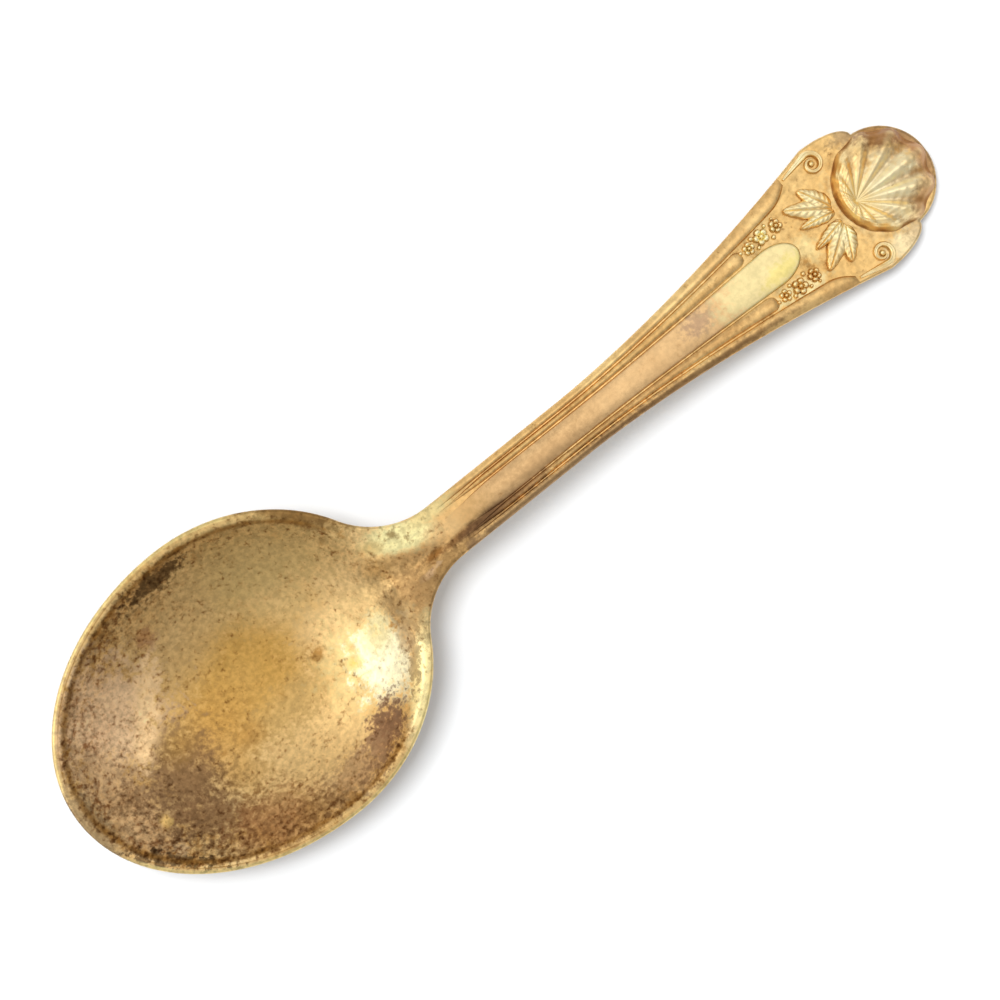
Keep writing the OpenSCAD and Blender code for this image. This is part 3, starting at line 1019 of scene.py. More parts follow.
@dataclass(frozen=True)
class BowlWearAndPaintedLight:
    """Where the bowl is rubbed bright, where its dark spots gather, and where light and shade are painted.

    Places along it are measured from its widest section, except for its tip, and shares are of
    the way from its middle to the foot of the rim's land. The line and the foot are dark rings on
    the land and under it, the line with its strength at the rear and at the front. The side is
    the stained front half. The rear has a lit flank on the right, where a painted highlight lifts
    the foot's ring and clears the spots, and a dim one on the left, whose rim gets painted shade.
    The band and the spread are where stains gather, and the calm middle is what they leave.
    """

    rim_share: float = 0.995
    rim_run: float = 0.025
    line_inset: float = 0.52
    line_w: float = 0.13
    line_swing: Pair = (0.8, 1.9)
    foot_share: float = 0.982
    foot_w: float = 0.02
    side_x: float = 9.0
    side_run: float = 18.0
    rear_x: float = 6.0
    rear_run: float = 6.0
    flank_run: float = 6.0
    dim_x: float = 15.0
    dim_run: float = 3.0
    tip_x: float = -48.5
    tip_run: float = 3.0
    tip_y: float = -1.2
    tip_half: float = 4.6
    clean: float = 0.55
    rubbed: float = 0.4
    foot_loss: float = 0.42
    # Painted highlight: how far the lit flank lifts the foot's dark ring
    foot_highlight_lift: float = 0.85
    groove_loss: float = 0.12
    # Painted shade on the rim of the dim flank
    dim_rim_shade: float = 0.1
    band_share: float = 0.72
    band_run: float = 0.24
    spread_share: float = 0.35
    spread_run: float = 0.4
    stain: float = 0.08
    band_stain: float = 0.25
    side_stain: float = 0.3
    spread_stain: float = 0.25
    # Painted highlight: how far the lit flank is cleared of spots
    highlight_spot_cut: float = 0.8
    calm: float = 0.22
    back_crown: float = 0.86
    back_loss: float = 0.24
    back_share: float = 0.2
    back_run: float = 0.25
    back_stain: float = 0.22

    def at(self, form: BowlForm, x: Array, y: Array, on_top: Array) -> tuple[Array, Array]:
        """Works out the wear and the stain of the bowl.

        Args:
            form: The bowl's surfaces.
            x: Places along the spoon, by ring.
            y: Places across it.
            on_top: Which rings lie on top.

        Returns:
            Wear and stain at each place.
        """
        share = form.oval_share(x, y, form.rim_w)
        inset = (1.0 - form.oval_share(x, y, 0.0)) * form.half
        past_mid = x - form.mid_x
        open_rim = 1.0 - form.throat(x)
        rim = ease((share - self.rim_share) / self.rim_run)
        groove = clamp01(form.tongue(x, y) / form.tongue_depth)
        side = ease((self.side_x - past_mid) / self.side_run)
        line = np.exp(-((inset - self.line_inset) / self.line_w) ** 2) * open_rim
        line = line * between(side, *self.line_swing)
        foot = np.exp(-((share - self.foot_share) / self.foot_w) ** 2) * open_rim
        rear = ease((past_mid - self.rear_x) / self.rear_run)
        # Painted highlight on the lit right flank and painted shade on the dim left one
        lit = rear * ease(-y / self.flank_run)
        dim = rear * ease(y / self.flank_run) * (1.0 - ease((past_mid - self.dim_x) / self.dim_run))
        tip = np.exp(-((y - self.tip_y) / self.tip_half) ** 4)
        tip = tip * rim * ease((self.tip_x - x) / self.tip_run)

        rubbed = self.rubbed * rim * open_rim * (1.0 - groove)
        rubbed = rubbed * (1.0 - line) * (1.0 - dim) * (1.0 - tip)
        wear = self.clean + rubbed - self.foot_loss * foot * (1.0 - self.foot_highlight_lift * lit)
        wear = wear - self.groove_loss * groove - self.dim_rim_shade * rim * dim
        back_wear = self.back_crown - self.back_loss * ease((share - self.back_share) / self.back_run)

        band = ease((share - self.band_share) / self.band_run)
        spread = ease((share - self.spread_share) / self.spread_run) * side
        gathered = band * (self.band_stain + self.side_stain * side) + self.spread_stain * spread
        stain = self.stain + gathered * (1.0 - rim) * (1.0 - self.highlight_spot_cut * lit)
        stain = stain - self.calm * (1.0 - band) * (1.0 - spread)
        return np.where(on_top, wear, back_wear), np.where(on_top, stain, self.back_stain)


@dataclass
class Bowl:
    """The oval bowl with its throat, and the heel that laps under it."""

    form: BowlForm
    worn: BowlWearAndPaintedLight = BowlWearAndPaintedLight()
    face_steps: int = 10
    fillet_steps: int = 16
    oval_steps: int = 120
    hollow_steps: int = 48
    land_steps: int = 8
    back_steps: int = 40
    hollow_start: float = 0.02
    hollow_crowding: float = 1.5
    land_least: float = 0.012
    lip_shares: tuple[float, ...] = (1.0, 0.8, 0.6, 0.42, 0.26, 0.13, 0.05, 0.01, 0.0)
    rim_round: float = 0.38
    under_round: float = 0.3
    heel_rows: int = 60
    heel_columns: int = 41
    heel_half: float = 2.1
    heel_end_l: float = 3.2
    heel_reach: float = 12.2
    heel_edge_t: float = 0.3
    heel_bed: float = 0.2
    heel_clear: float = 0.02
    heel_narrowing: float = 1.6
    heel_thinning: float = 1.1
    heel_softening: float = 2.5
    heel_square: Pair = (12.0, 2.4)
    heel_edge_wear: float = 0.45
    heel_body_wear: float = 0.35
    heel_stain: float = 0.2

    def outline(self) -> tuple[Array, Array]:
        """Lays out the edge of the bowl, once round from the middle of the neck.

        Returns:
            Places on the edge, and how much longer the way in from each is along its spoke.
        """
        form = self.form
        middle = np.array([form.mid_x, 0.0])
        out = -form.oval_normal(np.array(form.fillet_angle))
        sweep = 2.0 * math.pi + math.atan2(out[1], out[0])
        turns = np.linspace(1.5 * math.pi, sweep, self.fillet_steps, endpoint=False)
        spokes = np.stack([np.cos(turns), np.sin(turns)], axis=-1)
        fillet = form.fillet_mid + form.neck_fillet * spokes
        angles = np.linspace(form.fillet_angle, math.pi, self.oval_steps + 1)
        oval = form.oval_point(angles)
        face_y = form.neck_half * np.arange(self.face_steps) / self.face_steps
        face = np.stack([np.full(self.face_steps, form.joint_x), face_y], axis=-1)

        bend = np.concatenate([fillet, oval])
        normal = np.concatenate([-spokes, form.oval_normal(angles)])
        slant = np.linalg.norm(bend - middle, axis=1) / np.sum((bend - middle) * normal, axis=1)
        half = np.concatenate([face, bend])
        stretch = np.concatenate([np.full(self.face_steps, slant[0]), slant])
        mirrored = half[-2:0:-1] * np.array([1.0, -1.0])
        return np.concatenate([half, mirrored]), np.concatenate([stretch, stretch[-2:0:-1]])

    def inset(self, x: Array, y: Array, ring: Array, on_oval: Array) -> Array:
        """Works out how far inside the edge the points of the rings lie.

        Args:
            x: Places along the spoon, by ring.
            y: Places across it.
            ring: Distance of each ring from the oval.
            on_oval: Which spokes end on the oval.

        Returns:
            Distance in from the oval, or from the fillet where a spoke ends on that.
        """
        form = self.form
        fillet = np.hypot(x - form.fillet_mid[0], np.abs(y) - form.fillet_mid[1]) - form.neck_fillet
        return np.where(on_oval, ring, np.maximum(fillet, 0.0))

    def build_bowl(self) -> Skin:
        """Builds the bowl as rings from the middle of the hollow over the rim to the rest.

        Returns:
            The bowl's skin.
        """
        form = self.form
        edge, stretch = self.outline()
        middle = np.array([form.mid_x, 0.0])
        reach = np.linalg.norm(edge - middle, axis=1)
        bend_x = float(form.oval_point(np.array(form.fillet_angle))[0])
        on_oval = (edge[:, 0] <= bend_x + SMALL)[None, :]
        lip = np.array(self.lip_shares)

        def rings(shares: Array) -> Array:
            """Returns places at shares of each spoke's length."""
            return middle + (edge - middle) * shares[..., None]

        hollow_end = 1.0 / form.oval_share(edge[:, 0], edge[:, 1], form.rim_w)
        level = np.linspace(self.hollow_start, 1.0, self.hollow_steps)
        run = 1.0 - (1.0 - level) ** self.hollow_crowding
        lip_start = 1.0 - self.rim_round * stretch / reach
        land_run = np.linspace(0.0, 1.0, self.land_steps, endpoint=False)[1:, None]
        hollow = run[:, None] * np.minimum(hollow_end, lip_start - self.land_least)
        land = hollow[-1] + (lip_start - hollow[-1]) * land_run
        lip_d = lip[:, None] * self.rim_round
        lip_share = 1.0 - lip_d * stretch / reach
        top = rings(np.concatenate([hollow, land, lip_share]))
        far = np.full((len(hollow) + len(land), 1), form.half)
        top_d = self.inset(top[..., 0], top[..., 1], np.concatenate([far, lip_d]), on_oval)
        top_z = form.top_z(top[..., 0], top[..., 1]) - round_over(top_d, self.rim_round)

        under_d = lip[::-1, None] * self.under_round
        under_share = 1.0 - under_d * stretch / reach
        rest = np.linspace(1.0, form.rest_w / form.width, self.back_steps)[1:, None]
        back = rings(np.concatenate([under_share, under_share[-1] * rest]))
        back_far = np.full((len(rest), 1), form.half)
        back_d = self.inset(back[..., 0], back[..., 1], np.concatenate([under_d, back_far]), on_oval)
        back_z = form.back_z(back[..., 0], back[..., 1]) + round_over(back_d, self.under_round)

        x = np.concatenate([top[..., 0], back[..., 0]])
        y = np.concatenate([top[..., 1], back[..., 1]])
        on_top = (np.arange(len(x)) < len(top))[:, None]
        wear, stain = self.worn.at(form, x, y, on_top)
        return Skin().loft(stack(x, y, np.concatenate([top_z, back_z])), wear, stain)

    def build_heel(self) -> Skin:
        """Builds the heel as a tapering tongue along the back of the bowl.

        Returns:
            The heel's skin.
        """
        form = self.form
        run = np.linspace(0.0, 1.0, self.heel_rows)
        end_x = form.joint_x - self.heel_reach
        x = between(run, form.joint_x, end_x + self.heel_clear)[:, None]
        share = clamp01((form.joint_x - x) / self.heel_reach)
        half = between(ease(share * self.heel_narrowing), form.neck_half - self.heel_clear, self.heel_half)
        half = half * quarter(clamp01((end_x + self.heel_end_l - x) / self.heel_end_l))
        across = crowded(self.heel_columns)
        y = half * across
        square = between(ease(share * self.heel_softening), *self.heel_square)
        body = np.maximum(1.0 - np.abs(across) ** square, 0.0) ** (1.0 / square)
        thick = between(ease(share * self.heel_thinning), form.heel_t, self.heel_edge_t)
        seat = form.back_z(x, y)
        under = np.maximum(seat - thick * body, 0.0)
        top = np.maximum(seat + self.heel_bed, under + self.heel_clear)
        loops = np.concatenate([stack(x, y, under), stack(x, y[:, ::-1], top[:, ::-1])], axis=1)
        worn = self.heel_edge_wear + self.heel_body_wear * body
        wear = np.concatenate([worn, np.zeros_like(body)], axis=1)
        return Skin().loft(loops, wear, self.heel_stain)

    def build(self, bowl_finish: bpy.types.Material, stem_finish: bpy.types.Material) -> None:
        """Builds and dresses both pieces.

        Args:
            bowl_finish: Finish of the bowl.
            stem_finish: Finish of the heel.
        """
        settle(self.build_bowl().make("worn_bowl"), "bowl", Slot.BOWL, bowl_finish)
        settle(self.build_heel().make("lapped_heel"), "heel", Slot.STEM, stem_finish)


@dataclass(frozen=True)
class MouldingWearAndShade:
    """Wear, stain and painted shade of the stem and its mouldings.

    The channels and the ground take away from the deck's wear, and painted shade darkens the
    crevice round the shell's seat and the ground before the panel's end. The panel's feet are its
    right one, darker with painted shade, and its left one, and a crest adds to its foot.
    """

    deck: float = 0.62
    channel: float = 0.16
    ground: float = 0.1
    ground_shelter: float = 0.7
    # Painted shade round the shell's seat and on the ground before the panel's end
    seat_shade: float = 0.2
    panel_end_shade: float = 0.04
    rim: float = 0.3
    under: float = 0.66
    sunk: float = 0.22
    panel_start: float = 0.6
    # Painted shade: the panel's right foot is darker than its left
    panel_shaded_and_plain_feet: Pair = (0.25, 0.66)
    panel_crown: float = 0.95
    rail_start: float = 0.62
    rail_foot: float = 0.44
    rail_crest: float = 0.38
    thread_start: float = 0.6
    thread_foot: float = 0.46
    thread_crest: float = 0.2
    stem_stain: float = 0.25
    panel_stain: float = 0.12
    rail_stain: float = 0.15
    thread_stain: float = 0.2


@dataclass
class Mouldings:
    """The stem with its raised panel, its rails and the threads between them."""

    form: HandleForm
    worn: MouldingWearAndShade = MouldingWearAndShade()
    stem_rows: tuple[int, int, int, int] = (90, 110, 40, 60)
    stem_columns: int = 121
    stem_fine_x: float = 30.0
    panel_rows: tuple[int, int] = (150, 24)
    panel_columns: int = 61
    rail_rows: int = 220
    rail_columns: int = 41
    thread_rows: int = 180
    thread_columns: int = 21
    panel_waist_w: float = 2.7
    panel_end_w: float = 4.0
    panel_edge_h: float = 0.3
    panel_neck_edge_h: float = 0.1
    panel_h: float = 0.497
    panel_gap: float = 0.6
    panel_end_l: float = 16.6
    panel_arch_l: float = 3.2
    panel_fade_l: float = 6.5
    panel_swell_l: float = 32.0
    panel_start_share: float = 0.7
    panel_start_rise: float = 0.03
    panel_end_gap: float = 0.04
    panel_round: float = 0.24
    panel_foot_w: float = 0.3
    panel_side_w: float = 0.5
    rail_waist_w: float = 0.85
    rail_end_w: float = 1.9
    rail_h: float = 0.498
    rail_edge_h: float = 0.12
    rail_crest: float = 0.38
    rail_fall_power: float = 1.8
    rail_foot_slope: float = 12.0
    rail_start_rise: float = 0.06
    rail_least_h: float = 0.004
    rail_foot_inset: float = 0.05
    rail_round: float = 0.1
    rail_fade_l: float = 4.5
    rail_end_l: float = 2.6
    rail_end_gap: float = 0.01
    rail_end_share: float = 0.99
    rail_point_share: float = 0.5
    thread_h: float = 0.38
    thread_gap: float = 0.07
    thread_fade_l: float = 6.5
    thread_start_rise: float = 0.08
    thread_end_l: float = 1.0
    thread_clear: float = 0.2
    spray_l: float = 4.6
    scroll_x: float = 43.85
    scroll_tail: float = 3.62
    bed: float = 0.08
    neck_round: float = 0.38
    edge_round: float = 0.3
    bare_l: float = 1.6
    bare_run: float = 2.0
    channel_border: float = 0.75
    channel_run: float = 0.35
    # Sizes of the painted shade round the shell's seat and before the panel's end
    seat_shade_w: float = 0.45
    panel_end_shade_size: Pair = (0.5, 2.4)
    rim_w: float = 0.3
    ground_h: float = 0.06
    ground_run: float = 2.0
    ground_border: float = 0.9
    ground_border_run: float = 0.8
    ground_seat_run: float = 0.4
    dimple_h: float = 0.025
    dimple_waves: tuple[tuple[float, Triple, Triple], ...] = (
        (0.6, (5.3, 1.9, 0.0), (-2.3, 4.7, 0.8)), (0.4, (8.9, -3.1, 1.7), (3.3, 7.7, 0.0)))
    fill_h: float = 0.13
    fill_run: float = 20.0
    fill_shares: Pair = (0.5, 0.3)

    @cached_property
    def panel_x(self) -> float:
        """Start of the panel, the rails and the threads."""
        return self.form.bowl.joint_x + self.panel_gap

    @cached_property
    def panel_end_x(self) -> float:
        """End of the panel's arch."""
        return self.form.tip_x - self.panel_end_l

    @cached_property
    def arch_x(self) -> float:
        """Start of the panel's arch."""
        return self.panel_end_x - self.panel_arch_l

    @cached_property
    def spray_x(self) -> float:
        """Middle of the spray of blossoms."""
        return self.panel_end_x - self.spray_l / 2.0

    @cached_property
    def thread_end_x(self) -> float:
        """End of the threads."""
        return self.spray_x - self.spray_l / 2.0 - self.thread_clear

    @cached_property
    def rail_end_x(self) -> float:
        """End of the rails, where the scrolls' tails start."""
        return self.scroll_x - self.scroll_tail

    def panel_half(self, x: Array) -> Array:
        """Returns half of the panel's width, without its rounded ends."""
        grown = self.form.grow(x, self.arch_x)
        return (self.panel_waist_w + (self.panel_end_w - self.panel_waist_w) * grown) / 2.0

    def rail_in(self, x: Array) -> Array:
        """Works out the place of the rail's inner foot.

        Args:
            x: Places along the spoon.

        Returns:
            Its distance from the middle of the handle.
        """
        grown = self.form.grow(x, self.rail_end_x)
        widening = self.rail_end_w - self.rail_waist_w
        return self.form.half_at(x) - self.rail_waist_w - widening * grown

    def channel_mid(self, x: Array) -> Array:
        """Returns the middle of the channel between the panel and a rail."""
        return (self.panel_half(x) + self.rail_in(x)) / 2.0

    def edge_r(self, x: Array) -> Array:
        """Returns the rounding of the stem's edge, crisp only where the rails run."""
        neck = 1.0 - ease((x - self.form.bowl.joint_x) / self.rail_fade_l)
        return self.neck_round * neck + self.edge_round * self.bare(x) + SMALL

    def bare(self, x: Array) -> Array:
        """Returns a share that grows where the rails have ended."""
        return ease((x - self.rail_end_x + self.bare_l) / self.bare_run)

    def fade_in(self, x: Array, length: float) -> Array:
        """Returns how far a moulding has risen out of the neck."""
        return ease((x - self.panel_x) / length)

    def strip(self, x: Array, y: Array, z: Array, inset: float = 0.0) -> Array:
        """Closes sections of a moulding with two points sunk into the deck.

        Args:
            x: Places along, one to a row.
            y: Places across, by row and by place.
            z: Heights, in the same way.
            inset: How far the last sunk point lies in from the last place.

        Returns:
            Closed loops of points.
        """
        deck = self.form.deck_z(x)
        top = stack(x, y, z)
        last = stack(x, y[:, -1:] - inset, np.minimum(deck, z[:, -1:]) - self.bed)
        first = stack(x, y[:, :1], np.minimum(deck, z[:, :1]) - self.bed)
        return np.concatenate([top, last, first], axis=1)

    def with_feet(self, wear: Array, rows: int) -> Array:
        """Returns the wear of a moulding's sections with that of their two sunk points."""
        spread = np.broadcast_to(wear, (rows, wear.shape[1]))
        return np.concatenate([spread, np.full((rows, 2), self.worn.sunk)], axis=1)

    def ground(self, x: Array, y: Array) -> Array:
        """Works out where the ground under the ornament is sunk.

        Args:
            x: Places along the spoon.
            y: Places across it.

        Returns:
            A share that grows to 1 there.
        """
        form = self.form
        before = ease((x - self.thread_end_x) / self.ground_run)
        inside = ease((form.edge_distance(x, y) - self.ground_border) / self.ground_border_run)
        off_seat = np.hypot(x - form.seat_x, y) - form.seat_r + self.ground_seat_run
        return before * inside * ease(off_seat / self.ground_seat_run)

    def dimples(self, x: Array, y: Array) -> Array:
        """Works out the unevenness of the hammered ground from pairs of waves.

        Args:
            x: Places along the spoon.
            y: Places across it.

        Returns:
            A height from -1 to 1.
        """
        height = np.zeros(np.broadcast_shapes(x.shape, y.shape))
        for share, *pair in self.dimple_waves:
            first, second = (np.sin(a * x + b * y + shift) for a, b, shift in pair)
            height = height + share * (first * second)
        return height

    def fill(self, x: Array, y: Array) -> Array:
        """Works out how far the gutters between the mouldings are filled.

        Args:
            x: Places along the spoon.
            y: Places across it.

        Returns:
            Height of the fill.
        """
        half = self.form.half_at(x)
        rail_w = half - self.rail_in(x)
        edge_share, run_share = self.fill_shares
        inside = ease((half - np.abs(y) - edge_share * rail_w) / (run_share * rail_w))
        return self.fill_h * self.fade_in(x, self.fill_run) * inside * (1.0 - self.bare(x))

    def build_stem(self) -> Skin:
        """Builds the stem from the neck to the shell's seat.

        Returns:
            The stem's skin.
        """
        form = self.form
        notch_x = form.notch[0]
        waist_rows, flare_rows, lobe_rows, seat_rows = self.stem_rows
        bend = np.sin(np.linspace(0.0, math.pi / 2.0, lobe_rows))
        tip_turn = np.linspace(form.notch_angle, form.end_angle, seat_rows)
        x = np.concatenate([
            np.linspace(form.bowl.joint_x, self.stem_fine_x, waist_rows, endpoint=False),
            np.linspace(self.stem_fine_x, form.shoulder_x, flare_rows, endpoint=False),
            form.shoulder_x + (notch_x - form.shoulder_x) * bend[:-1],
            form.seat_x + form.seat_r * np.cos(tip_turn)])[:, None]
        y = form.half_at(x) * crowded(self.stem_columns)
        inside = form.edge_distance(x, y)
        ground = self.ground(x, y)
        sunk = ground * (self.ground_h + self.dimple_h * self.dimples(x, y))
        fill = self.fill(x, y) * (1.0 - ground)
        top = form.deck_z(x) - round_over(inside, self.edge_r(x)) - sunk + fill
        under = form.under_z(x, y) + round_over(inside, self.edge_round)
        loops = np.concatenate([stack(x, y, top), stack(x, y[:, ::-1], under[:, ::-1])], axis=1)
        wear = np.concatenate([self.deck_wear_and_shade(x, y), np.full_like(under, self.worn.under)], axis=1)
        return Skin().loft(loops, wear, self.worn.stem_stain)

    def deck_wear_and_shade(self, x: Array, y: Array) -> Array:
        """Works out the wear of the stem's deck, with painted shade at its crevices.

        Args:
            x: Places along the spoon.
            y: Places across it.

        Returns:
            Wear and painted shade at each place.
        """
        form = self.form
        worn = self.worn
        ground = self.ground(x, y)
        rails = 1.0 - self.bare(x)
        channel = ease((form.half_at(x) - np.abs(y) - self.channel_border) / self.channel_run)
        channel = channel * self.fade_in(x, self.thread_fade_l)
        # Painted shade in the crevice round the shell's seat and on the ground before the panel's end
        seat = np.abs(np.hypot(x - form.seat_x, y) - form.seat_r)
        seat_shade = np.exp(-(seat / self.seat_shade_w) ** 2) * (x < form.seat_x)
        end_l, end_w = self.panel_end_shade_size
        panel_end_shade = np.exp(-((x - self.panel_end_x) / end_l) ** 2 - (y / end_w) ** 4)
        wear = worn.deck - worn.channel * channel * rails * (1.0 - worn.ground_shelter * ground)
        wear = wear - worn.ground * ground - worn.seat_shade * seat_shade - worn.panel_end_shade * panel_end_shade
        edge = np.exp(-(form.edge_distance(x, y) / self.rim_w) ** 2)
        return wear + worn.rim * edge * self.bare(x)

    def panel_inside(self, x: Array, y: Array, half: Array) -> Array:
        """Works out how far inside the panel's outline places lie.

        Args:
            x: Places along the spoon.
            y: Places across it.
            half: Half of the panel's width, without its rounded ends.

        Returns:
            Distance in from the edge.
        """
        along = np.maximum(x - self.arch_x, 0.0) / self.panel_arch_l
        share = np.hypot(along, y / half)
        steep = np.hypot(along / self.panel_arch_l, y / half ** 2) / np.maximum(share, SMALL)
        arch = (1.0 - share) / np.maximum(steep, SMALL)
        return np.maximum(np.where(x > self.arch_x, arch, half - np.abs(y)), 0.0)

    def build_panel(self) -> Skin:
        """Builds the raised panel, which swells out of the neck and flattens towards its arched end.

        Returns:
            The panel's skin.
        """
        straight_rows, arch_rows = self.panel_rows
        turn = np.linspace(0.0, math.pi / 2.0 - self.panel_end_gap, arch_rows)
        x = np.concatenate([
            np.linspace(self.panel_x, self.arch_x, straight_rows, endpoint=False),
            self.arch_x + self.panel_arch_l * np.sin(turn)])[:, None]
        fade = self.fade_in(x, self.panel_fade_l)
        full = self.panel_half(x) * between(fade, self.panel_start_share, 1.0)
        half = full * quarter(clamp01((x - self.arch_x) / self.panel_arch_l))
        y = half * crowded(self.panel_columns)
        swell = self.fade_in(x, self.panel_swell_l)
        edge_h = between(swell, self.panel_neck_edge_h, self.panel_edge_h)
        inside = self.panel_inside(x, y, full)
        rise = edge_h + (self.panel_h - edge_h) * (1.0 - (y / full) ** 2)
        rise = rise - round_over(inside, np.minimum(self.panel_round, edge_h))
        rise = rise * between(fade, self.panel_start_rise, 1.0)
        # Painted shade: the panel's right foot is darker than its left
        foot_wear_and_shade = between(ease(y / self.panel_side_w), *self.worn.panel_shaded_and_plain_feet)
        wear = between(ease(inside / self.panel_foot_w), foot_wear_and_shade, self.worn.panel_crown)
        wear = between(fade, self.worn.panel_start, wear)
        loops = self.strip(x, y, self.form.deck_z(x) + rise)
        return Skin().loft(loops, self.with_feet(wear, len(x)), self.worn.panel_stain)

    def build_rail(self) -> Skin:
        """Builds the left rail, which rises out of the neck along the edge of the handle.

        Returns:
            The rail's skin.
        """
        form = self.form
        x = np.linspace(self.panel_x, self.rail_end_x - self.rail_end_gap, self.rail_rows)[:, None]
        past = clamp01((x - self.rail_end_x + self.rail_end_l) / self.rail_end_l)
        outer = form.half_at(x)
        inner = self.rail_in(x)
        inner = inner + (outer - inner) * self.rail_point_share * past ** 2
        width = outer - inner
        share = ((1.0 - np.cos(np.linspace(0.0, math.pi, self.rail_columns))) / 2.0)[None, :]
        y = inner + width * share
        climb = quarter((self.rail_crest - share) / self.rail_crest)
        fall = clamp01((share - self.rail_crest) / (1.0 - self.rail_crest)) ** self.rail_fall_power
        crest = np.where(share < self.rail_crest, climb, 1.0 - fall)
        rising = self.fade_in(x, self.rail_fade_l)
        fade = between(rising, self.rail_start_rise, 1.0) * quarter(past * self.rail_end_share)
        foot = self.rail_edge_h * np.minimum(1.0, share * self.rail_foot_slope)
        rise = foot + (self.rail_h - self.rail_edge_h) * crest
        outside = (1.0 - share) * width
        rise = rise * fade - round_over(outside, self.rail_round * fade + SMALL)
        rise = np.maximum(rise, self.rail_least_h)
        z = form.deck_z(x) - round_over(outside, self.edge_r(x)) + rise
        wear = between(rising, self.worn.rail_start, self.worn.rail_foot + self.worn.rail_crest * crest)
        loops = self.strip(x, y, z, self.rail_foot_inset)
        return Skin().loft(loops, self.with_feet(wear, len(x)), self.worn.rail_stain)

    def build_thread(self) -> Skin:
        """Builds the left thread, a half-round bead that fills the channel.

        Returns:
            The thread's skin.
        """
        x = np.linspace(self.panel_x, self.thread_end_x, self.thread_rows)[:, None]
        half = (self.rail_in(x) - self.panel_half(x)) / 2.0 - self.thread_gap
        rising = self.fade_in(x, self.thread_fade_l)
        past = clamp01((x - self.thread_end_x + self.thread_end_l) / self.thread_end_l)
        fade = between(np.minimum(rising, quarter(past)), self.thread_start_rise, 1.0)
        across = crowded(self.thread_columns)
        y = self.channel_mid(x) + half * fade * across
        body = quarter(across)
        loops = self.strip(x, y, self.form.deck_z(x) + self.thread_h * fade * body)
        worn = self.worn.thread_foot + self.worn.thread_crest * body
        wear = between(rising, self.worn.thread_start, worn)
        return Skin().loft(loops, self.with_feet(wear, len(x)), self.worn.thread_stain)

    def build(self, stem_finish: bpy.types.Material, panel_finish: bpy.types.Material,
              rail_finish: bpy.types.Material) -> None:
        """Builds and dresses the stem and its mouldings.

        Args:
            stem_finish: Finish of the stem.
            panel_finish: Finish of the panel.
            rail_finish: Finish of the rails and the threads.
        """
        settle(self.build_stem().make("flared_stem"), "stem", Slot.STEM, stem_finish)
        settle(self.build_panel().make("raised_panel"), "panel", Slot.PANEL, panel_finish)
        rail = self.build_rail()
        thread = self.build_thread()
        for side in Side:
            hand = side.name.lower()
            settle(rail.make(f"{hand}_edge_rail", side), f"{hand}_rail", Slot.RAIL, rail_finish)
            settle(thread.make(f"{hand}_bead_thread", side), f"{hand}_thread", Slot.RAIL, rail_finish)


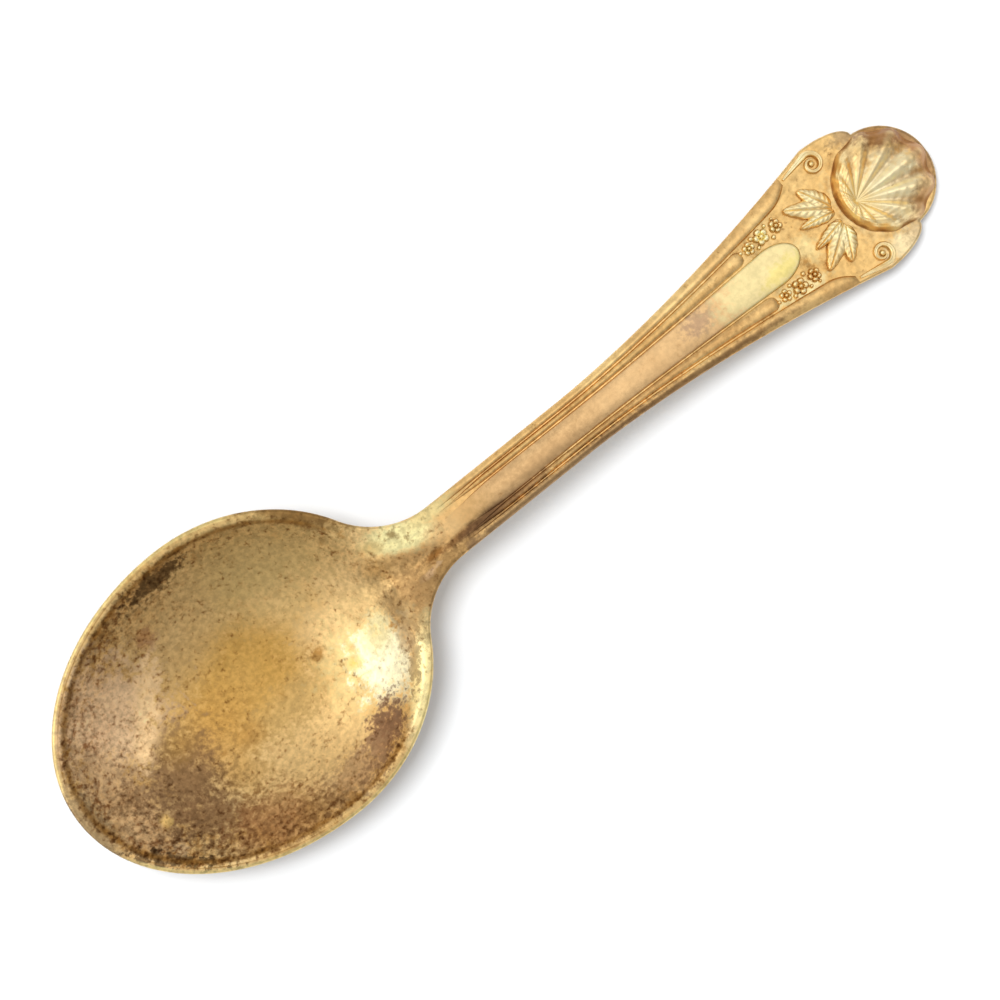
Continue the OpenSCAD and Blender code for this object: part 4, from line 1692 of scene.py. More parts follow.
@dataclass
class Finial:
    """The fluted shell on its seat, and the scrolls, leaves and blossoms before it."""

    form: HandleForm
    mouldings: Mouldings
    shell_rows: int = 56
    shell_columns: int = 480
    scroll_rows: tuple[int, int] = (30, 130)
    scroll_columns: int = 25
    leaf_rows: int = 64
    leaf_columns: int = 37
    blossom_rows: int = 20
    blossom_columns: int = 90
    dome_rows: int = 9
    dome_columns: int = 28
    seat_border: float = 0.2
    shell_h: float = 2.0
    shell_edge_h: float = 0.5
    flutes: int = 15
    flute_depth: float = 0.35
    shell_gap: float = 0.2
    hinge_share: float = 0.72
    scallop_share: float = 0.05
    crown_share: float = 0.58
    crown_dip: float = 0.68
    crown_power: float = 3.0
    hinge_bead_h: float = 0.25
    hinge_bead_r: float = 0.9
    ripple_h: float = 0.03
    ripple_share: float = 0.3
    ripples: int = 9
    shell_start: float = 0.02
    shell_edge_share: float = 0.07
    shell_wear: Triple = (0.55, 0.38, 0.4)
    scroll_r: float = 1.15
    scroll_w: float = 0.75
    scroll_h: float = 0.7
    scroll_tail_l: float = 3.2
    scroll_angle: float = math.radians(129.0)
    scroll_turn: float = math.radians(420.0)
    scroll_lean: float = math.radians(11.0)
    scroll_end_share: float = 0.36
    scroll_groove: float = 0.2
    scroll_groove_w: float = 0.32
    scroll_wear: Pair = (0.2, 0.72)
    eye_shares: Pair = (0.8, 0.75)
    eye_wear: float = 0.85
    leaf_w: float = 2.3
    leaf_h: float = 0.7
    leaf_point_share: float = 0.35
    leaf_gaps: Pair = (0.12, 0.1)
    leaf_powers: Pair = (0.8, 0.5)
    leaf_edge_share: float = 0.16
    lobes: float = 3.5
    lobe_depth: float = 0.1
    lobe_fade: float = 3.0
    rib_w: float = 0.13
    rib_depth: float = 0.24
    veins: float = 7.0
    vein_slant: float = 0.35
    vein_fade: float = 3.0
    vein_h: float = 0.06
    leaf_wear: Triple = (0.25, 0.7, 0.2)
    leaf_shares: tuple[tuple[float, float, float, float], ...] = (
        (0.74, 0.12, 0.27, 0.6), (0.8, 0.2, 0.78, 0.92), (0.34, 0.25, 0.93, 0.85))
    blossom_r: float = 0.9
    blossom_h: float = 0.65
    petals: int = 5
    petal_share: float = 0.3
    petal_power: float = 0.6
    petal_span: Pair = (0.22, 0.86)
    petal_cleft: float = 0.35
    petal_heights: Pair = (0.2, 0.62)
    heart_share: float = 0.3
    heart_heights: Pair = (0.25, 0.75)
    blossom_start: float = 0.05
    blossom_edge: float = 0.15
    blossom_fall: float = 0.5
    blossom_turn: float = 0.4
    blossom_wear: Pair = (0.12, 0.8)
    blossom_shares: tuple[Triple, ...] = (
        (-0.36, -0.1, 0.8), (0.02, 0.1, 1.0), (0.42, 0.05, 0.85))
    bead_shares: tuple[Triple, ...] = (
        (-0.56, 0.05, 0.26), (-0.19, 0.62, 0.3), (-0.16, -0.72, 0.26), (0.22, 0.85, 0.24),
        (0.24, -0.8, 0.3), (0.44, 0.98, 0.2))
    bead_h_share: float = 0.62
    bead_wear: float = 0.8
    dome_start: float = 0.08
    relief_stain: float = 0.15
    blossom_stain: float = 0.2
    bed: float = 0.1

    def build_shell(self) -> Skin:
        """Builds the shell, whose flutes fan out from a hinge near the edge that faces the panel.

        Returns:
            The shell's skin.
        """
        radius = self.form.seat_r * math.cos(self.form.blade_fall) - self.seat_border
        hinge = self.hinge_share * radius
        turn = around(self.shell_columns)
        level = np.linspace(self.shell_start, 1.0, self.shell_rows)[:, None]
        wave = np.cos(turn * self.flutes) * np.cos(turn / 2.0) ** 2
        reach = hinge * np.cos(turn) + np.sqrt(radius ** 2 - (hinge * np.sin(turn)) ** 2)
        reach = reach * (1.0 - self.scallop_share * (1.0 - wave) / 2.0) * level
        before = 1.0 - self.crown_dip * clamp01(1.0 - level / self.crown_share) ** 2
        past = clamp01((level - self.crown_share) / (1.0 - self.crown_share))
        crown = np.where(level < self.crown_share, before, 1.0 - past ** self.crown_power)
        deepening = np.sin(math.pi / 2.0 * level)
        flute = self.flute_depth * wave * deepening * (1.0 + crown) / 2.0
        ripple = self.ripple_h * np.sin(2.0 * math.pi * self.ripples * level)
        ripple = ripple * ease((level - self.ripple_share) / self.ripple_share)
        bead = self.hinge_bead_h * np.exp(-(reach / self.hinge_bead_r) ** 2)
        height = self.shell_edge_h + (self.shell_h - self.shell_edge_h) * crown + flute + ripple + bead
        x = reach * np.cos(turn) - hinge
        y = reach * np.sin(turn)
        foot = stack(x[-1:], y[-1:], np.full_like(x[-1:], -self.bed))
        loops = np.concatenate([stack(x, y, height), foot])
        plain, crest, edge = self.shell_wear
        worn = plain + crest * wave * deepening
        worn = worn - edge * ease((level - 1.0 + self.shell_edge_share) / self.shell_edge_share)
        wear = np.concatenate([worn, np.zeros_like(worn[-1:])])
        return Skin().loft(self.form.on_blade(loops, self.form.seat_x, 0.0), wear, self.relief_stain)

    def build_scroll(self) -> Skin:
        """Builds the left scroll: a tail along the edge that curls into a volute with an eye.

        Returns:
            The scroll's skin.
        """
        lean = self.scroll_lean
        tail_rows, curl_rows = self.scroll_rows
        run = np.linspace(0.0, 1.0, curl_rows)
        turn = math.pi / 2.0 + lean - self.scroll_turn * run
        share = between(run, 1.0, self.scroll_end_share)
        spoke = np.stack([np.cos(turn), np.sin(turn)], axis=-1)
        curl = spoke * self.scroll_r * share[:, None]
        tail_run = np.linspace(1.0, 0.0, tail_rows, endpoint=False)
        back = np.array([-math.cos(lean), -math.sin(lean)]) * self.scroll_tail_l
        tail = curl[0] + back * tail_run[:, None]
        spokes = np.concatenate([np.tile(spoke[0], (len(tail), 1)), spoke])
        shares = np.concatenate([between(tail_run, 1.0, self.scroll_end_share), share])[:, None]
        centre = np.concatenate([tail, curl])
        angle = np.linspace(math.pi, 0.0, self.scroll_columns)[None, :]
        across = self.scroll_w / 2.0 * shares * np.cos(angle)
        off_crest = (angle - math.pi / 2.0) / self.scroll_groove_w
        groove = 1.0 - self.scroll_groove * np.exp(-off_crest ** 2)
        rise = self.scroll_h * shares * np.sin(angle) * groove
        rise[:, [0, -1]] = -self.bed
        x = centre[:, :1] + spokes[:, :1] * across
        y = centre[:, 1:] + spokes[:, 1:] * across
        scroll = self.scroll_place()
        foot, crest = self.scroll_wear
        wear = np.broadcast_to(foot + crest * np.sin(angle) * groove, x.shape)
        skin = Skin().loft(self.form.on_blade(stack(x, y, rise), *scroll), wear, self.relief_stain)
        eye_r, eye_h = self.eye_shares
        eye = self.dome(self.scroll_r * self.scroll_end_share * eye_r, self.scroll_h * eye_h)
        return skin.loft(self.form.on_blade(eye, *scroll), self.eye_wear)

    def scroll_place(self) -> Pair:
        """Returns the place of the left volute, on the shoulder beside the seat."""
        reach = self.form.seat_r + self.shell_gap + self.scroll_r + self.scroll_w / 2.0
        return (self.form.seat_x + reach * math.cos(self.scroll_angle),
                reach * math.sin(self.scroll_angle))

    def dome(self, radius: float, height: float) -> Array:
        """Shapes a small bead.

        Args:
            radius: Its radius.
            height: Its height.

        Returns:
            Closed loops from its top to its sunk foot.
        """
        fall = np.linspace(self.dome_start, math.pi / 2.0, self.dome_rows)[:, None]
        turn = around(self.dome_columns)
        body = stack(radius * np.sin(fall) * np.cos(turn), radius * np.sin(fall) * np.sin(turn),
                     height * np.cos(fall))
        foot = body[-1:] + np.array([0.0, 0.0, -self.bed])
        return np.concatenate([body, foot])

    def leaf_loops(self, length: float, width: float) -> tuple[Array, Array]:
        """Shapes one leaf with a sunk midrib, side veins and a lobed edge.

        Args:
            length: Length from its root to its point.
            width: Width at its widest.

        Returns:
            Closed loops along the leaf, and their wear.
        """
        root_gap, point_gap = self.leaf_gaps
        along = np.cos(np.linspace(math.pi - root_gap, point_gap, self.leaf_rows))[:, None]
        across = crowded(self.leaf_columns)
        lobes = self.lobe_depth * np.abs(np.sin(self.lobes * math.pi * (along + 1.0) / 2.0))
        lobes = 1.0 - lobes * ease((1.0 - along) * self.lobe_fade)
        half = width / 2.0 * quarter(along) * (1.0 - self.leaf_point_share * along) * lobes
        across_power, along_power = self.leaf_powers
        body = quarter(across) ** across_power * quarter(along) ** along_power
        rib = np.exp(-(across / self.rib_w) ** 2)
        vein = np.cos(self.veins * math.pi * (along - self.vein_slant * np.abs(across)))
        vein = vein * clamp01(np.abs(across) * self.vein_fade)
        swell = body * (1.0 - self.rib_depth * rib + self.vein_h * vein)
        rise = self.leaf_h * between(swell, self.leaf_edge_share, 1.0)
        x = np.broadcast_to(length / 2.0 * along, rise.shape)
        y = half * across
        feet = stack(x[:, :2], np.stack([y[:, -1], y[:, 0]], axis=1), np.full((len(x), 2), -self.bed))
        edge_wear, body_wear, rib_loss = self.leaf_wear
        wear = edge_wear + body_wear * body - rib_loss * rib + self.vein_h * vein
        return (np.concatenate([stack(x, y, rise), feet], axis=1),
                np.concatenate([wear, np.zeros((len(x), 2))], axis=1))

    def build_leaves(self) -> Skin:
        """Builds the left leaves, which spread from under the shell's hinge.

        Returns:
            The leaves' skin.
        """
        hinge_x = self.form.seat_x - self.form.seat_r - self.shell_gap
        space = hinge_x - self.mouldings.panel_end_x
        reach = float(self.mouldings.rail_in(np.array(self.mouldings.rail_end_x)))
        skin = Skin()
        for back, root, tip, wide in self.leaf_shares:
            start = np.array([hinge_x, root * reach])
            run = np.array([hinge_x - back * space, tip * reach]) - start
            middle = start + run / 2.0
            loops, wear = self.leaf_loops(float(np.hypot(*run)), wide * self.leaf_w)
            turn = math.atan2(run[1], run[0])
            leaf = self.form.on_blade(loops, float(middle[0]), float(middle[1]), turn)
            skin.loft(leaf, wear, self.relief_stain)
        return skin

    def blossom_loops(self, radius: float) -> tuple[Array, Array]:
        """Shapes one blossom with domed petals round a bead.

        Args:
            radius: Radius over the petals.

        Returns:
            Closed loops from its middle to its sunk foot, and their wear.
        """
        turn = around(self.blossom_columns)
        level = np.linspace(self.blossom_start, 1.0, self.blossom_rows)[:, None]
        lobe = np.abs(np.cos(self.petals * turn / 2.0)) ** self.petal_power
        reach = radius * (1.0 - self.petal_share * (1.0 - lobe)) * level
        start, run = self.petal_span
        petal = np.sin(math.pi * clamp01((level - start) / run)) * between(lobe, self.petal_cleft, 1.0)
        heart = quarter(level / self.heart_share)
        petal_foot, petal_h = self.petal_heights
        heart_foot, heart_h = self.heart_heights
        rise = np.maximum(petal_foot + petal_h * petal, heart_foot + heart_h * heart)
        falling = ease((level - 1.0 + self.blossom_edge) / self.blossom_edge)
        rise = self.blossom_h * rise * (1.0 - self.blossom_fall * falling)
        body = stack(reach * np.cos(turn), reach * np.sin(turn), rise)
        foot = stack(body[-1:, :, 0], body[-1:, :, 1], np.full_like(rise[-1:], -self.bed))
        hollow_wear, crest_wear = self.blossom_wear
        wear = hollow_wear + crest_wear * np.maximum(petal, heart)
        return np.concatenate([body, foot]), np.concatenate([wear, np.zeros_like(wear[-1:])])

    def build_blossoms(self) -> Skin:
        """Builds the left spray of blossoms beside the panel's arched end.

        Returns:
            The spray's skin.
        """
        skin = Skin()
        middle_y = float(self.mouldings.channel_mid(np.array(self.mouldings.spray_x)))
        for index, (along, across, size) in enumerate(self.blossom_shares):
            loops, wear = self.blossom_loops(self.blossom_r * size)
            x = self.mouldings.spray_x + self.mouldings.spray_l * along
            y = middle_y + self.blossom_r * across
            blossom = self.form.on_blade(loops, x, y, self.blossom_turn * index)
            skin.loft(blossom, wear, self.blossom_stain)
        for along, across, size in self.bead_shares:
            bead = self.dome(self.blossom_r * size, self.blossom_h * self.bead_h_share)
            x = self.mouldings.spray_x + self.mouldings.spray_l * along
            y = middle_y + self.blossom_r * across
            skin.loft(self.form.on_blade(bead, x, y), self.bead_wear)
        return skin

    def build(self, shell_finish: bpy.types.Material, ornament_finish: bpy.types.Material) -> None:
        """Builds and dresses the shell and the ornament before it.

        Args:
            shell_finish: Finish of the shell.
            ornament_finish: Finish of the scrolls, the leaves and the blossoms.
        """
        settle(self.build_shell().make("fluted_shell"), "shell", Slot.SHELL, shell_finish)
        pairs = (("curled_scroll", "scroll", self.build_scroll()),
                 ("spread_leaves", "leaves", self.build_leaves()),
                 ("blossom_spray", "blossoms", self.build_blossoms()))
        for name, node, skin in pairs:
            for side in Side:
                hand = side.name.lower()
                settle(skin.make(f"{hand}_{name}", side), f"{hand}_{node}", Slot.ORNAMENT, ornament_finish)


@dataclass(frozen=True)
class Softbox:
    """A soft lamp that faces the spoon.

    Attributes:
        name: Name of the lamp.
        aim: Direction from the spoon to the lamp.
        distance: Distance from the spoon.
        width: Width of the lamp.
        height: Height of the lamp.
        radiance: How bright its face is, with 1 as white.
        on_floor: Whether it lights the dull floor.
        in_metal: Whether it shows in metal.
    """

    name: str
    aim: Triple
    distance: float
    width: float
    height: float
    radiance: float
    on_floor: bool = True
    in_metal: bool = True

    def make(self) -> None:
        """Hangs the lamp."""
        lamp = bpy.data.lights.new(self.name, "AREA")
        lamp.shape = "RECTANGLE"
        lamp.size = self.width * MM
        lamp.size_y = self.height * MM
        lamp.energy = self.radiance * math.pi * lamp.size * lamp.size_y
        hung = bpy.data.objects.new(self.name, lamp)
        aim = Vector(self.aim).normalized()
        hung.location = aim * self.distance * MM
        hung.rotation_mode = "QUATERNION"
        hung.rotation_quaternion = aim.to_track_quat("Z", "Y")
        hung.visible_diffuse = self.on_floor
        hung.visible_glossy = self.in_metal
        hung.visible_camera = False
        bpy.context.scene.collection.objects.link(hung)


@dataclass
class Studio:
    """The pale floor, the room, the lamps and the camera over the spoon."""

    frame_w: float = 99.3
    lens: float = 135.0
    sensor: float = 36.0
    clip: Pair = (10.0, 20000.0)
    turn: float = math.radians(38.75)
    target: Triple = (-1.46, -1.02, 6.0)
    floor_r: float = 3000.0
    floor_tone: Triple = (0.585, 0.6, 0.615)
    floor_roughness: float = 0.95
    floor_glow: float = 0.1
    sky_aim: Triple = (-0.55, 0.62, 0.56)
    sky_low: float = 0.45
    sky_high: float = 0.9
    lamps: tuple[Softbox, ...] = (
        Softbox("overhead_card", (0.34, 0.08, 0.94), 900.0, 800.0, 800.0, 0.6, on_floor=False),
        Softbox("window_card", (-0.72, 0.42, 0.55), 800.0, 900.0, 500.0, 1.2, on_floor=False),
        Softbox("high_lamp", (-0.1, 0.2, 0.98), 5000.0, 1570.0, 1570.0, 33.0, in_metal=False))

    def build_floor(self) -> None:
        """Lays a plain pale floor that takes the spoon's shadow."""
        mesh = bpy.data.meshes.new("floor")
        corner = self.floor_r * MM
        signs = ((-1.0, -1.0), (1.0, -1.0), (1.0, 1.0), (-1.0, 1.0))
        mesh.from_pydata([(x * corner, y * corner, 0.0) for x, y in signs], [], [(0, 1, 2, 3)])
        floor = bpy.data.objects.new("floor", mesh)
        bpy.context.scene.collection.objects.link(floor)
        kit = NodeKit("pale_floor")
        paint = kit.surface.inputs
        paint["Base Color"].default_value = self.floor_tone + (1.0,)
        paint["Roughness"].default_value = self.floor_roughness
        paint["Specular IOR Level"].default_value = 0.0
        paint["Emission Color"].default_value = (1.0, 1.0, 1.0, 1.0)
        path = kit.add("ShaderNodeLightPath").outputs
        seen = kit.math("MAXIMUM", path["Is Camera Ray"], path["Is Glossy Ray"])
        seen = kit.math("MAXIMUM", seen, path["Is Transmission Ray"])
        kit.feed(paint["Emission Strength"], kit.math("MULTIPLY", seen, self.floor_glow))
        mesh.materials.append(kit.material)

    def build_world(self) -> None:
        """Sets an even white room that is a little brighter towards the window."""
        world = bpy.data.worlds.new("studio")
        world.use_nodes = True
        bpy.context.scene.world = world
        tree = world.node_tree
        room = tree.nodes["Background"]
        room.inputs["Color"].default_value = (1.0, 1.0, 1.0, 1.0)
        source = tree.nodes.new("ShaderNodeTexCoord")
        facing = tree.nodes.new("ShaderNodeVectorMath")
        facing.operation = "DOT_PRODUCT"
        facing.inputs[1].default_value = Vector(self.sky_aim).normalized()
        level = tree.nodes.new("ShaderNodeMapRange")
        level.interpolation_type = "SMOOTHSTEP"
        for label, number in (("From Min", -1.0), ("To Min", self.sky_low), ("To Max", self.sky_high)):
            level.inputs[label].default_value = number
        tree.links.new(source.outputs["Generated"], facing.inputs[0])
        tree.links.new(facing.outputs["Value"], level.inputs["Value"])
        tree.links.new(level.outputs["Result"], room.inputs["Strength"])

    def build_camera(self) -> None:
        """Sets the camera straight over the spoon, with the bowl at the lower left."""
        data = bpy.data.cameras.new("camera")
        data.lens = self.lens
        data.sensor_width = self.sensor
        data.clip_start, data.clip_end = (reach * MM for reach in self.clip)
        camera = bpy.data.objects.new("camera", data)
        distance = self.frame_w * self.lens / self.sensor
        camera.location = (Vector(self.target) + Vector((0.0, 0.0, distance))) * MM
        camera.rotation_euler = (0.0, 0.0, -self.turn)
        bpy.context.scene.collection.objects.link(camera)
        bpy.context.scene.camera = camera

    def build(self) -> None:
        """Builds the floor, the room, the lamps and the camera."""
        bpy.context.scene.view_settings.view_transform = "Standard"
        self.build_floor()
        self.build_world()
        for lamp in self.lamps:
            lamp.make()
        self.build_camera()


# Tones of the neck, with a painted highlight on its left flank and painted shade down the panel's right
# flank
NECK_TONES_AND_PAINTED_LIGHT = (
    Patch(-8.5, -0.2, 6.0, 4.2, 0.0, "#d2a76c", 0.9, 0.5, 0.3),
    Patch(-10.4, -3.0, 4.4, 1.5, 12.0, "#a48151", 0.88, 0.5, 0.5),
    Patch(-12.9, -3.4, 2.4, 1.7, 30.0, "#a68354", 0.8, 0.6, 0.5),
    Patch(-11.2, -2.3, 1.2, 0.3, 9.0, "#d8b48a", 0.7, 0.5, 1.0),
    # Painted highlight on the cream flange and the left flank
    Patch(-11.4, 2.25, 3.6, 1.5, -25.0, "#f2e6a8", 0.97, 0.35, 0.3),
    Patch(-7.6, 2.4, 2.6, 0.8, -3.0, "#e4d092", 0.85, 0.5, 0.4),
    Patch(-12.0, 3.0, 0.45, 0.35, 0.0, "#8a6a35", 0.7, 0.5, 0.6),
    Patch(-7.6, 0.2, 2.4, 1.1, 0.0, "#e0bb82", 0.7, 0.6, 0.5),
    # Painted shade down the right flank of the panel
    Patch(-9.8, -1.15, 1.1, 0.4, 6.0, "#85592a", 0.9, 0.5, 0.3),
    Patch(-7.2, -1.34, 1.9, 0.34, 3.0, "#8a6238", 0.85, 0.5, 0.25),
    Patch(-3.4, -1.5, 3.9, 0.62, 0.0, "#664830", 0.94, 0.6, 0.25),
    Patch(1.6, -1.6, 3.4, 0.48, 0.0, "#96704a", 0.8, 0.5, 0.6),
)
# Tones and stains of the bowl, with painted highlights, painted reflections and painted shade
BOWL_STAINS_AND_PAINTED_LIGHT = NECK_TONES_AND_PAINTED_LIGHT + (
    Patch(-33.0, 1.0, 9.0, 6.0, 10.0, "#c6994c", 0.85, 0.6),
    Patch(-39.0, -1.8, 5.0, 4.4, 30.0, "#ba8c4a", 0.5, 0.7, 0.5),
    Patch(-24.0, 9.8, 9.0, 4.5, -14.0, "#c4a76c", 0.85, 0.55),
    Patch(-36.0, 9.0, 6.5, 4.0, 25.0, "#d0ac72", 0.7, 0.55),
    # Painted reflection: a pale pink sheen on the front left inner wall
    Patch(-45.8, 6.2, 5.6, 5.2, 45.0, "#f4cea0", 0.88, 0.5, 0.7),
    Patch(-31.0, -8.0, 8.0, 4.5, 8.0, "#d8b478", 0.85, 0.55, 0.4),
    Patch(-30.0, -4.2, 6.5, 1.9, 0.0, "#bf9b5c", 0.65, 0.7, 0.6),
    # Painted reflection of the window on the rear wall
    Patch(-23.2, 0.2, 2.8, 2.2, 0.0, "#e2c088", 0.6, 0.6, 0.6),
    Patch(-24.6, 4.2, 4.4, 2.0, -20.0, "#dcbc80", 0.5, 0.7, 0.5),
    Patch(-49.6, -2.0, 2.8, 7.5, 5.0, "#cca678", 0.8, 0.5, 0.6),
    Patch(-43.8, -3.2, 5.0, 4.0, 62.0, "#7e5f40", 0.9, 0.65, 0.6),
    Patch(-43.2, -8.0, 4.4, 2.4, -36.0, "#8a6845", 0.8, 0.55, 0.8),
    Patch(-47.0, -1.7, 2.4, 2.2, 60.0, "#93714e", 0.35, 0.6, 0.9),
    # Painted reflection: a pale streak in the pink sheen on the left wall
    Patch(-42.2, 4.7, 5.2, 1.05, 48.0, "#ffd8a0", 0.92, 0.55, 0.8),
    Patch(-53.2, -1.3, 1.5, 4.6, 0.0, "#a28862", 0.9, 0.4, 0.3),
    Patch(-38.4, -11.9, 4.8, 2.4, -18.0, "#a8784a", 0.75, 0.5, 0.7),
    Patch(-14.8, -3.6, 3.4, 1.9, 40.0, "#ac8757", 0.8, 0.5, 0.6),
    # Painted shade that dims the throat's highlight
    Patch(-14.9, -2.1, 2.6, 1.1, 35.0, "#ac8959", 0.75, 0.6, 0.5),
    # Painted highlight of the window on the right rear wall and along the right rim
    Patch(-21.4, -5.4, 4.6, 4.4, 40.0, "#d8c084", 0.8, 0.5, 0.7),
    Patch(-20.2, -6.2, 3.8, 3.1, 45.0, "#f0eac6", 0.92, 0.45, 0.7),
    Patch(-19.2, -3.7, 2.2, 1.3, 45.0, "#d6c68e", 0.75, 0.6, 0.5),
    Patch(-18.6, -10.0, 6.0, 1.0, 48.0, "#f8e8aa", 0.85, 0.4, 0.25),
    # Painted shade on the rim of the dim left rear flank
    Patch(-18.2, 11.0, 5.6, 1.2, -50.0, "#7f5d32", 0.85, 0.45, 0.3),
    # Painted shade that dims the throat's highlight
    Patch(-16.0, -3.3, 4.0, 1.2, 100.0, "#a08458", 0.85, 0.6, 0.5),
    Patch(-22.9, -4.6, 0.8, 0.7, 0.0, "#ccb050", 0.6, 0.5, 0.7),
    Patch(-25.4, -1.55, 0.8, 0.6, 20.0, "#9a6a2a", 0.75, 0.5, 0.6),
    Patch(-25.1, -12.0, 3.4, 1.5, 36.0, "#a07a58", 0.85, 0.35, 0.8),
    Patch(-24.9, -11.9, 3.0, 1.3, 36.0, "#6e4e3a", 0.6, 0.6, 1.3),
    Patch(-29.4, -13.2, 3.8, 1.6, 8.0, "#b8946a", 0.7, 0.5, 0.7),
    Patch(-17.8, -7.9, 2.8, 0.5, 55.0, "#a58455", 0.65, 0.4, 1.2),
    Patch(-17.2, -5.7, 1.6, 0.8, 60.0, "#b79768", 0.7, 0.6, 0.6),
    Patch(-33.2, 14.2, 3.2, 0.9, 6.0, "#80633c", 0.8, 0.4, 0.8),
    Patch(-33.1, 14.1, 2.8, 0.8, 6.0, "#4c3822", 0.42, 0.55, 1.2),
    Patch(-39.8, 13.5, 2.2, 0.55, 17.0, "#7a5e3a", 0.2, 0.35, 1.3),
    Patch(-48.8, -8.7, 4.6, 0.65, -45.0, "#4d3b26", 0.72, 0.3, 1.2),
    Patch(-47.7, -8.3, 0.7, 0.6, 0.0, "#d0b084", 0.7, 0.5, 0.6),
    Patch(-37.8, 10.4, 1.1, 0.8, 30.0, "#ac7448", 0.6, 0.6, 0.8),
    Patch(-34.3, -13.6, 2.6, 1.0, -8.0, "#8f6a3c", 0.55, 0.6, 0.7),
    Patch(-23.0, -14.0, 1.6, 0.6, 50.0, "#e6cc94", 0.55, 0.5, 0.4),
    Patch(-36.5, -10.7, 1.5, 0.9, 0.0, "#cba26a", 0.5, 0.7, 0.7),
    Patch(-49.3, -1.2, 1.4, 1.2, 0.0, "#8a6640", 0.5, 0.7, 0.7),
    Patch(-47.5, 5.8, 1.4, 1.1, 0.0, "#f0c698", 0.5, 0.7, 0.7),
    Patch(-35.9, -3.8, 1.5, 1.2, 0.0, "#a97a38", 0.5, 0.7, 0.6),
    Patch(-14.3, 3.2, 1.1, 0.7, -30.0, "#c09a58", 0.5, 0.6, 0.5),
    Patch(-48.2, 9.6, 1.3, 0.8, 40.0, "#b08a58", 0.5, 0.6, 0.6),
    Patch(-18.8, 0.2, 2.2, 1.6, 20.0, "#cfae74", 0.45, 0.7, 0.6),
    Patch(-42.2, 0.1, 1.8, 1.5, 40.0, "#a9813f", 0.4, 0.7, 0.7),
    Patch(-38.1, -7.0, 2.0, 1.6, 0.0, "#b48a4a", 0.4, 0.7, 0.7),
    Patch(-47.5, -5.2, 0.75, 0.5, 60.0, "#ecc478", 0.8, 0.5, 0.9),
)
# Tones of the stem, with the neck's painted light, and painted light in the left channel and by the shell
STEM_TONES_AND_PAINTED_LIGHT = NECK_TONES_AND_PAINTED_LIGHT + (
    Patch(47.0, 0.0, 8.0, 9.0, 0.0, "#e6bd7a", 0.8, 0.5, 0.4),
    # Painted light that lifts the shade in the left channel
    Patch(9.0, 1.75, 14.0, 0.8, 2.0, "#f4c47e", 0.75, 0.5, 0.3),
    Patch(35.0, -3.5, 2.6, 0.9, -8.0, "#f6e8b0", 0.7, 0.6, 0.6),
    Patch(38.0, -0.7, 1.2, 1.4, 0.0, "#f2dc9e", 0.65, 0.6, 0.6),
    # Painted light over the shade at the shell's edge that faces the panel
    Patch(44.2, -0.4, 1.3, 3.4, 0.0, "#f8dca0", 0.6, 0.5, 0.5),
    # Painted highlight on the ground beside the right leaves
    Patch(46.2, -6.2, 2.6, 1.0, 10.0, "#f0e0b4", 0.7, 0.5, 0.6),
    Patch(53.0, 1.0, 1.7, 5.0, 0.0, "#a07a54", 0.88, 0.5, 0.5),
    Patch(50.2, 4.9, 2.2, 1.2, -45.0, "#94693f", 0.85, 0.5, 0.4),
    Patch(48.4, 6.0, 1.6, 0.9, 0.0, "#b3956c", 0.8, 0.6, 0.6),
    Patch(48.4, -6.0, 1.4, 0.8, 0.0, "#c6aa80", 0.7, 0.6, 0.6),
)
# The neck's painted highlight and shade, and the panel's own tones
PANEL_TONES_AND_PAINTED_LIGHT = NECK_TONES_AND_PAINTED_LIGHT + (
    Patch(5.0, -0.5, 5.0, 1.3, 0.0, "#c09868", 0.85, 0.6, 0.5),
    Patch(25.0, 0.3, 2.0, 1.0, 6.0, "#a88870", 0.8, 0.6, 0.9),
    Patch(33.2, -0.1, 6.0, 2.8, 0.0, "#ecdda2", 0.95, 0.35, 0.4),
    Patch(35.0, -0.8, 2.2, 0.8, 8.0, "#f2e284", 0.75, 0.6, 0.7),
)
RAIL_TONES_AND_PAINTED_LIGHT = NECK_TONES_AND_PAINTED_LIGHT + (
    # Painted shade along the right rail and the right thread, on the side away from the light
    Patch(4.0, -2.85, 12.0, 0.65, 0.0, "#9a7a56", 0.9, 0.4, 0.4),
    Patch(20.5, -3.42, 12.0, 0.45, -5.0, "#8c6844", 0.8, 0.5, 0.35),
    Patch(9.0, -1.78, 5.0, 0.3, 0.0, "#a67e4c", 0.6, 0.5, 0.3),
    Patch(21.0, -2.02, 10.0, 0.34, -2.4, "#b58a56", 0.6, 0.5, 0.3),
    # Painted shade that mutes the sheen on the left thread's crest
    Patch(6.0, 1.77, 9.0, 0.3, 0.0, "#c4985a", 0.45, 0.5, 0.3),
    Patch(21.0, 2.02, 10.0, 0.34, 2.4, "#c4985a", 0.6, 0.5, 0.3),
    Patch(42.3, 6.3, 2.0, 0.9, 12.0, "#dba868", 0.7, 0.6, 0.6),
    Patch(42.0, -6.1, 2.0, 0.9, -12.0, "#c09a62", 0.7, 0.6, 0.6),
)
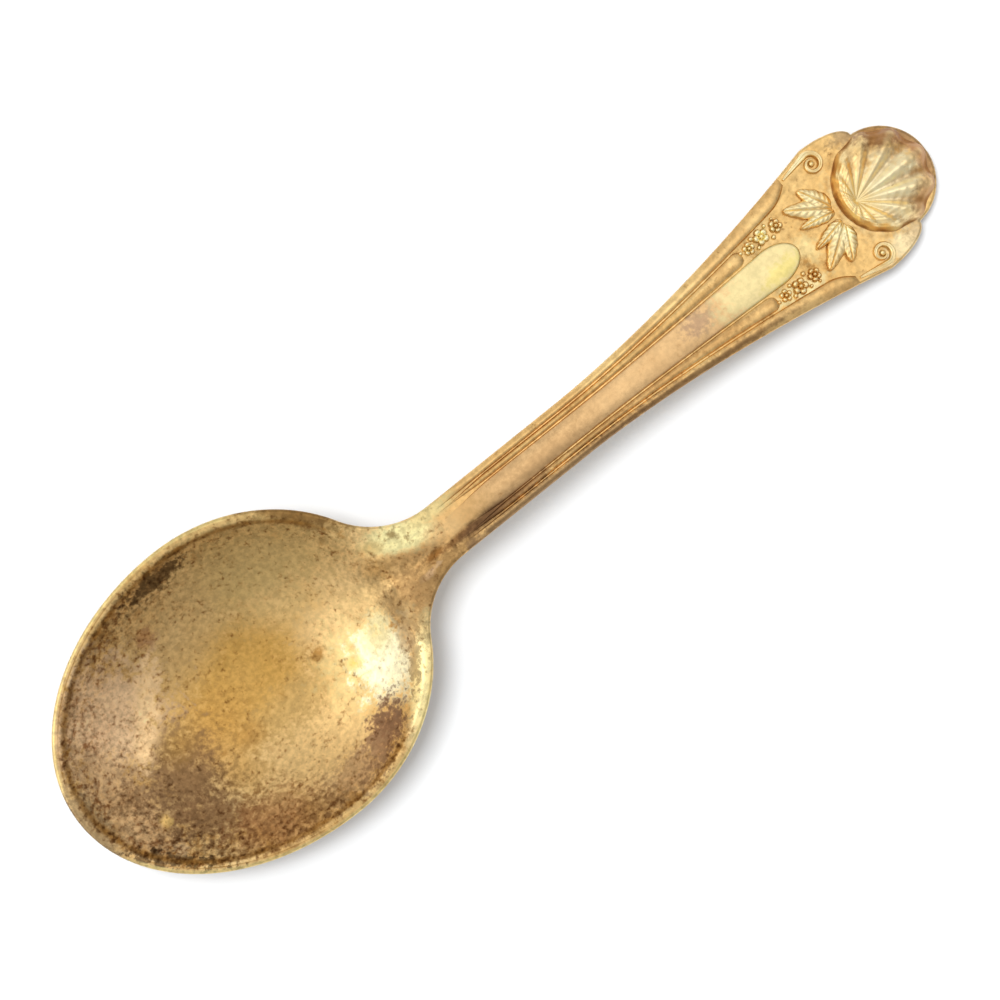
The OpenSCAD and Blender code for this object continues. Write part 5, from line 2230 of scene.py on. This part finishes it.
SHELL_TONES_AND_PAINTED_LIGHT = (
    # Painted highlight on the shell's raised middle
    Patch(48.7, -0.9, 3.4, 2.9, 0.0, "#fff0c2", 0.9, 0.6, 0.5),
    # Painted light over the shade at the shell's edge that faces the panel
    Patch(45.0, -0.2, 1.5, 3.6, 0.0, "#fce2a4", 0.75, 0.5, 0.5),
    Patch(53.2, 0.0, 0.9, 4.8, 0.0, "#b88456", 0.85, 0.5, 0.5),
    Patch(51.2, 3.8, 2.6, 1.4, -36.0, "#98693f", 0.92, 0.5, 0.5),
    Patch(50.6, -4.2, 2.6, 1.3, 35.0, "#b88a58", 0.9, 0.5, 0.5),
)


def main() -> None:
    """Builds the spoon's sub-assemblies in order, then the studio."""
    logging.basicConfig(level=logging.INFO, format="%(message)s")
    bowl_form = BowlForm()
    handle_form = HandleForm(bowl_form)
    mouldings = Mouldings(handle_form)

    bowl_gilt = GiltFinish("bowl_gilt", "#cca668", "#d8b880", bright="#e4d08c", gloss=0.4, tarnish=0.55,
                           mottling=0.17, spots=1.0, patches=BOWL_STAINS_AND_PAINTED_LIGHT).make()
    stem_gilt = GiltFinish("stem_gilt", "#d8ae6c", "#e8c688", recess="#b2864a", tarnish=0.4, spots=0.2,
                           rub=0.35, patches=STEM_TONES_AND_PAINTED_LIGHT).make()
    panel_gilt = GiltFinish("panel_gilt", "#d6ae7a", "#deb884", tarnish=0.3, mottling=0.08, spots=0.0,
                            rub=0.25, patches=PANEL_TONES_AND_PAINTED_LIGHT).make()
    rail_gilt = GiltFinish("rail_gilt", "#dcb070", "#ecc888", recess="#c09254", tarnish=0.4, spots=0.1,
                           rub=0.35, patches=RAIL_TONES_AND_PAINTED_LIGHT).make()
    shell_gilt = GiltFinish("shell_gilt", "#e4bc7a", "#f8dea4", recess="#a8743c", tarnish=0.25, spots=0.0,
                            rub=0.45, mottling=0.07, patches=SHELL_TONES_AND_PAINTED_LIGHT).make()
    # The ornament's pale colour, in its clouds and on its rubbed crests, is partly a painted highlight
    ornament_gilt = GiltFinish("ornament_gilt", "#e8c07a", "#fff2c0", recess="#bc8848", tarnish=0.3,
                               spots=0.1, mottling=0.08).make()

    Bowl(bowl_form).build(bowl_gilt, stem_gilt)
    mouldings.build(stem_gilt, panel_gilt, rail_gilt)
    Finial(handle_form, mouldings).build(shell_gilt, ornament_gilt)
    Studio().build()


if __name__ == "__main__":
    main()
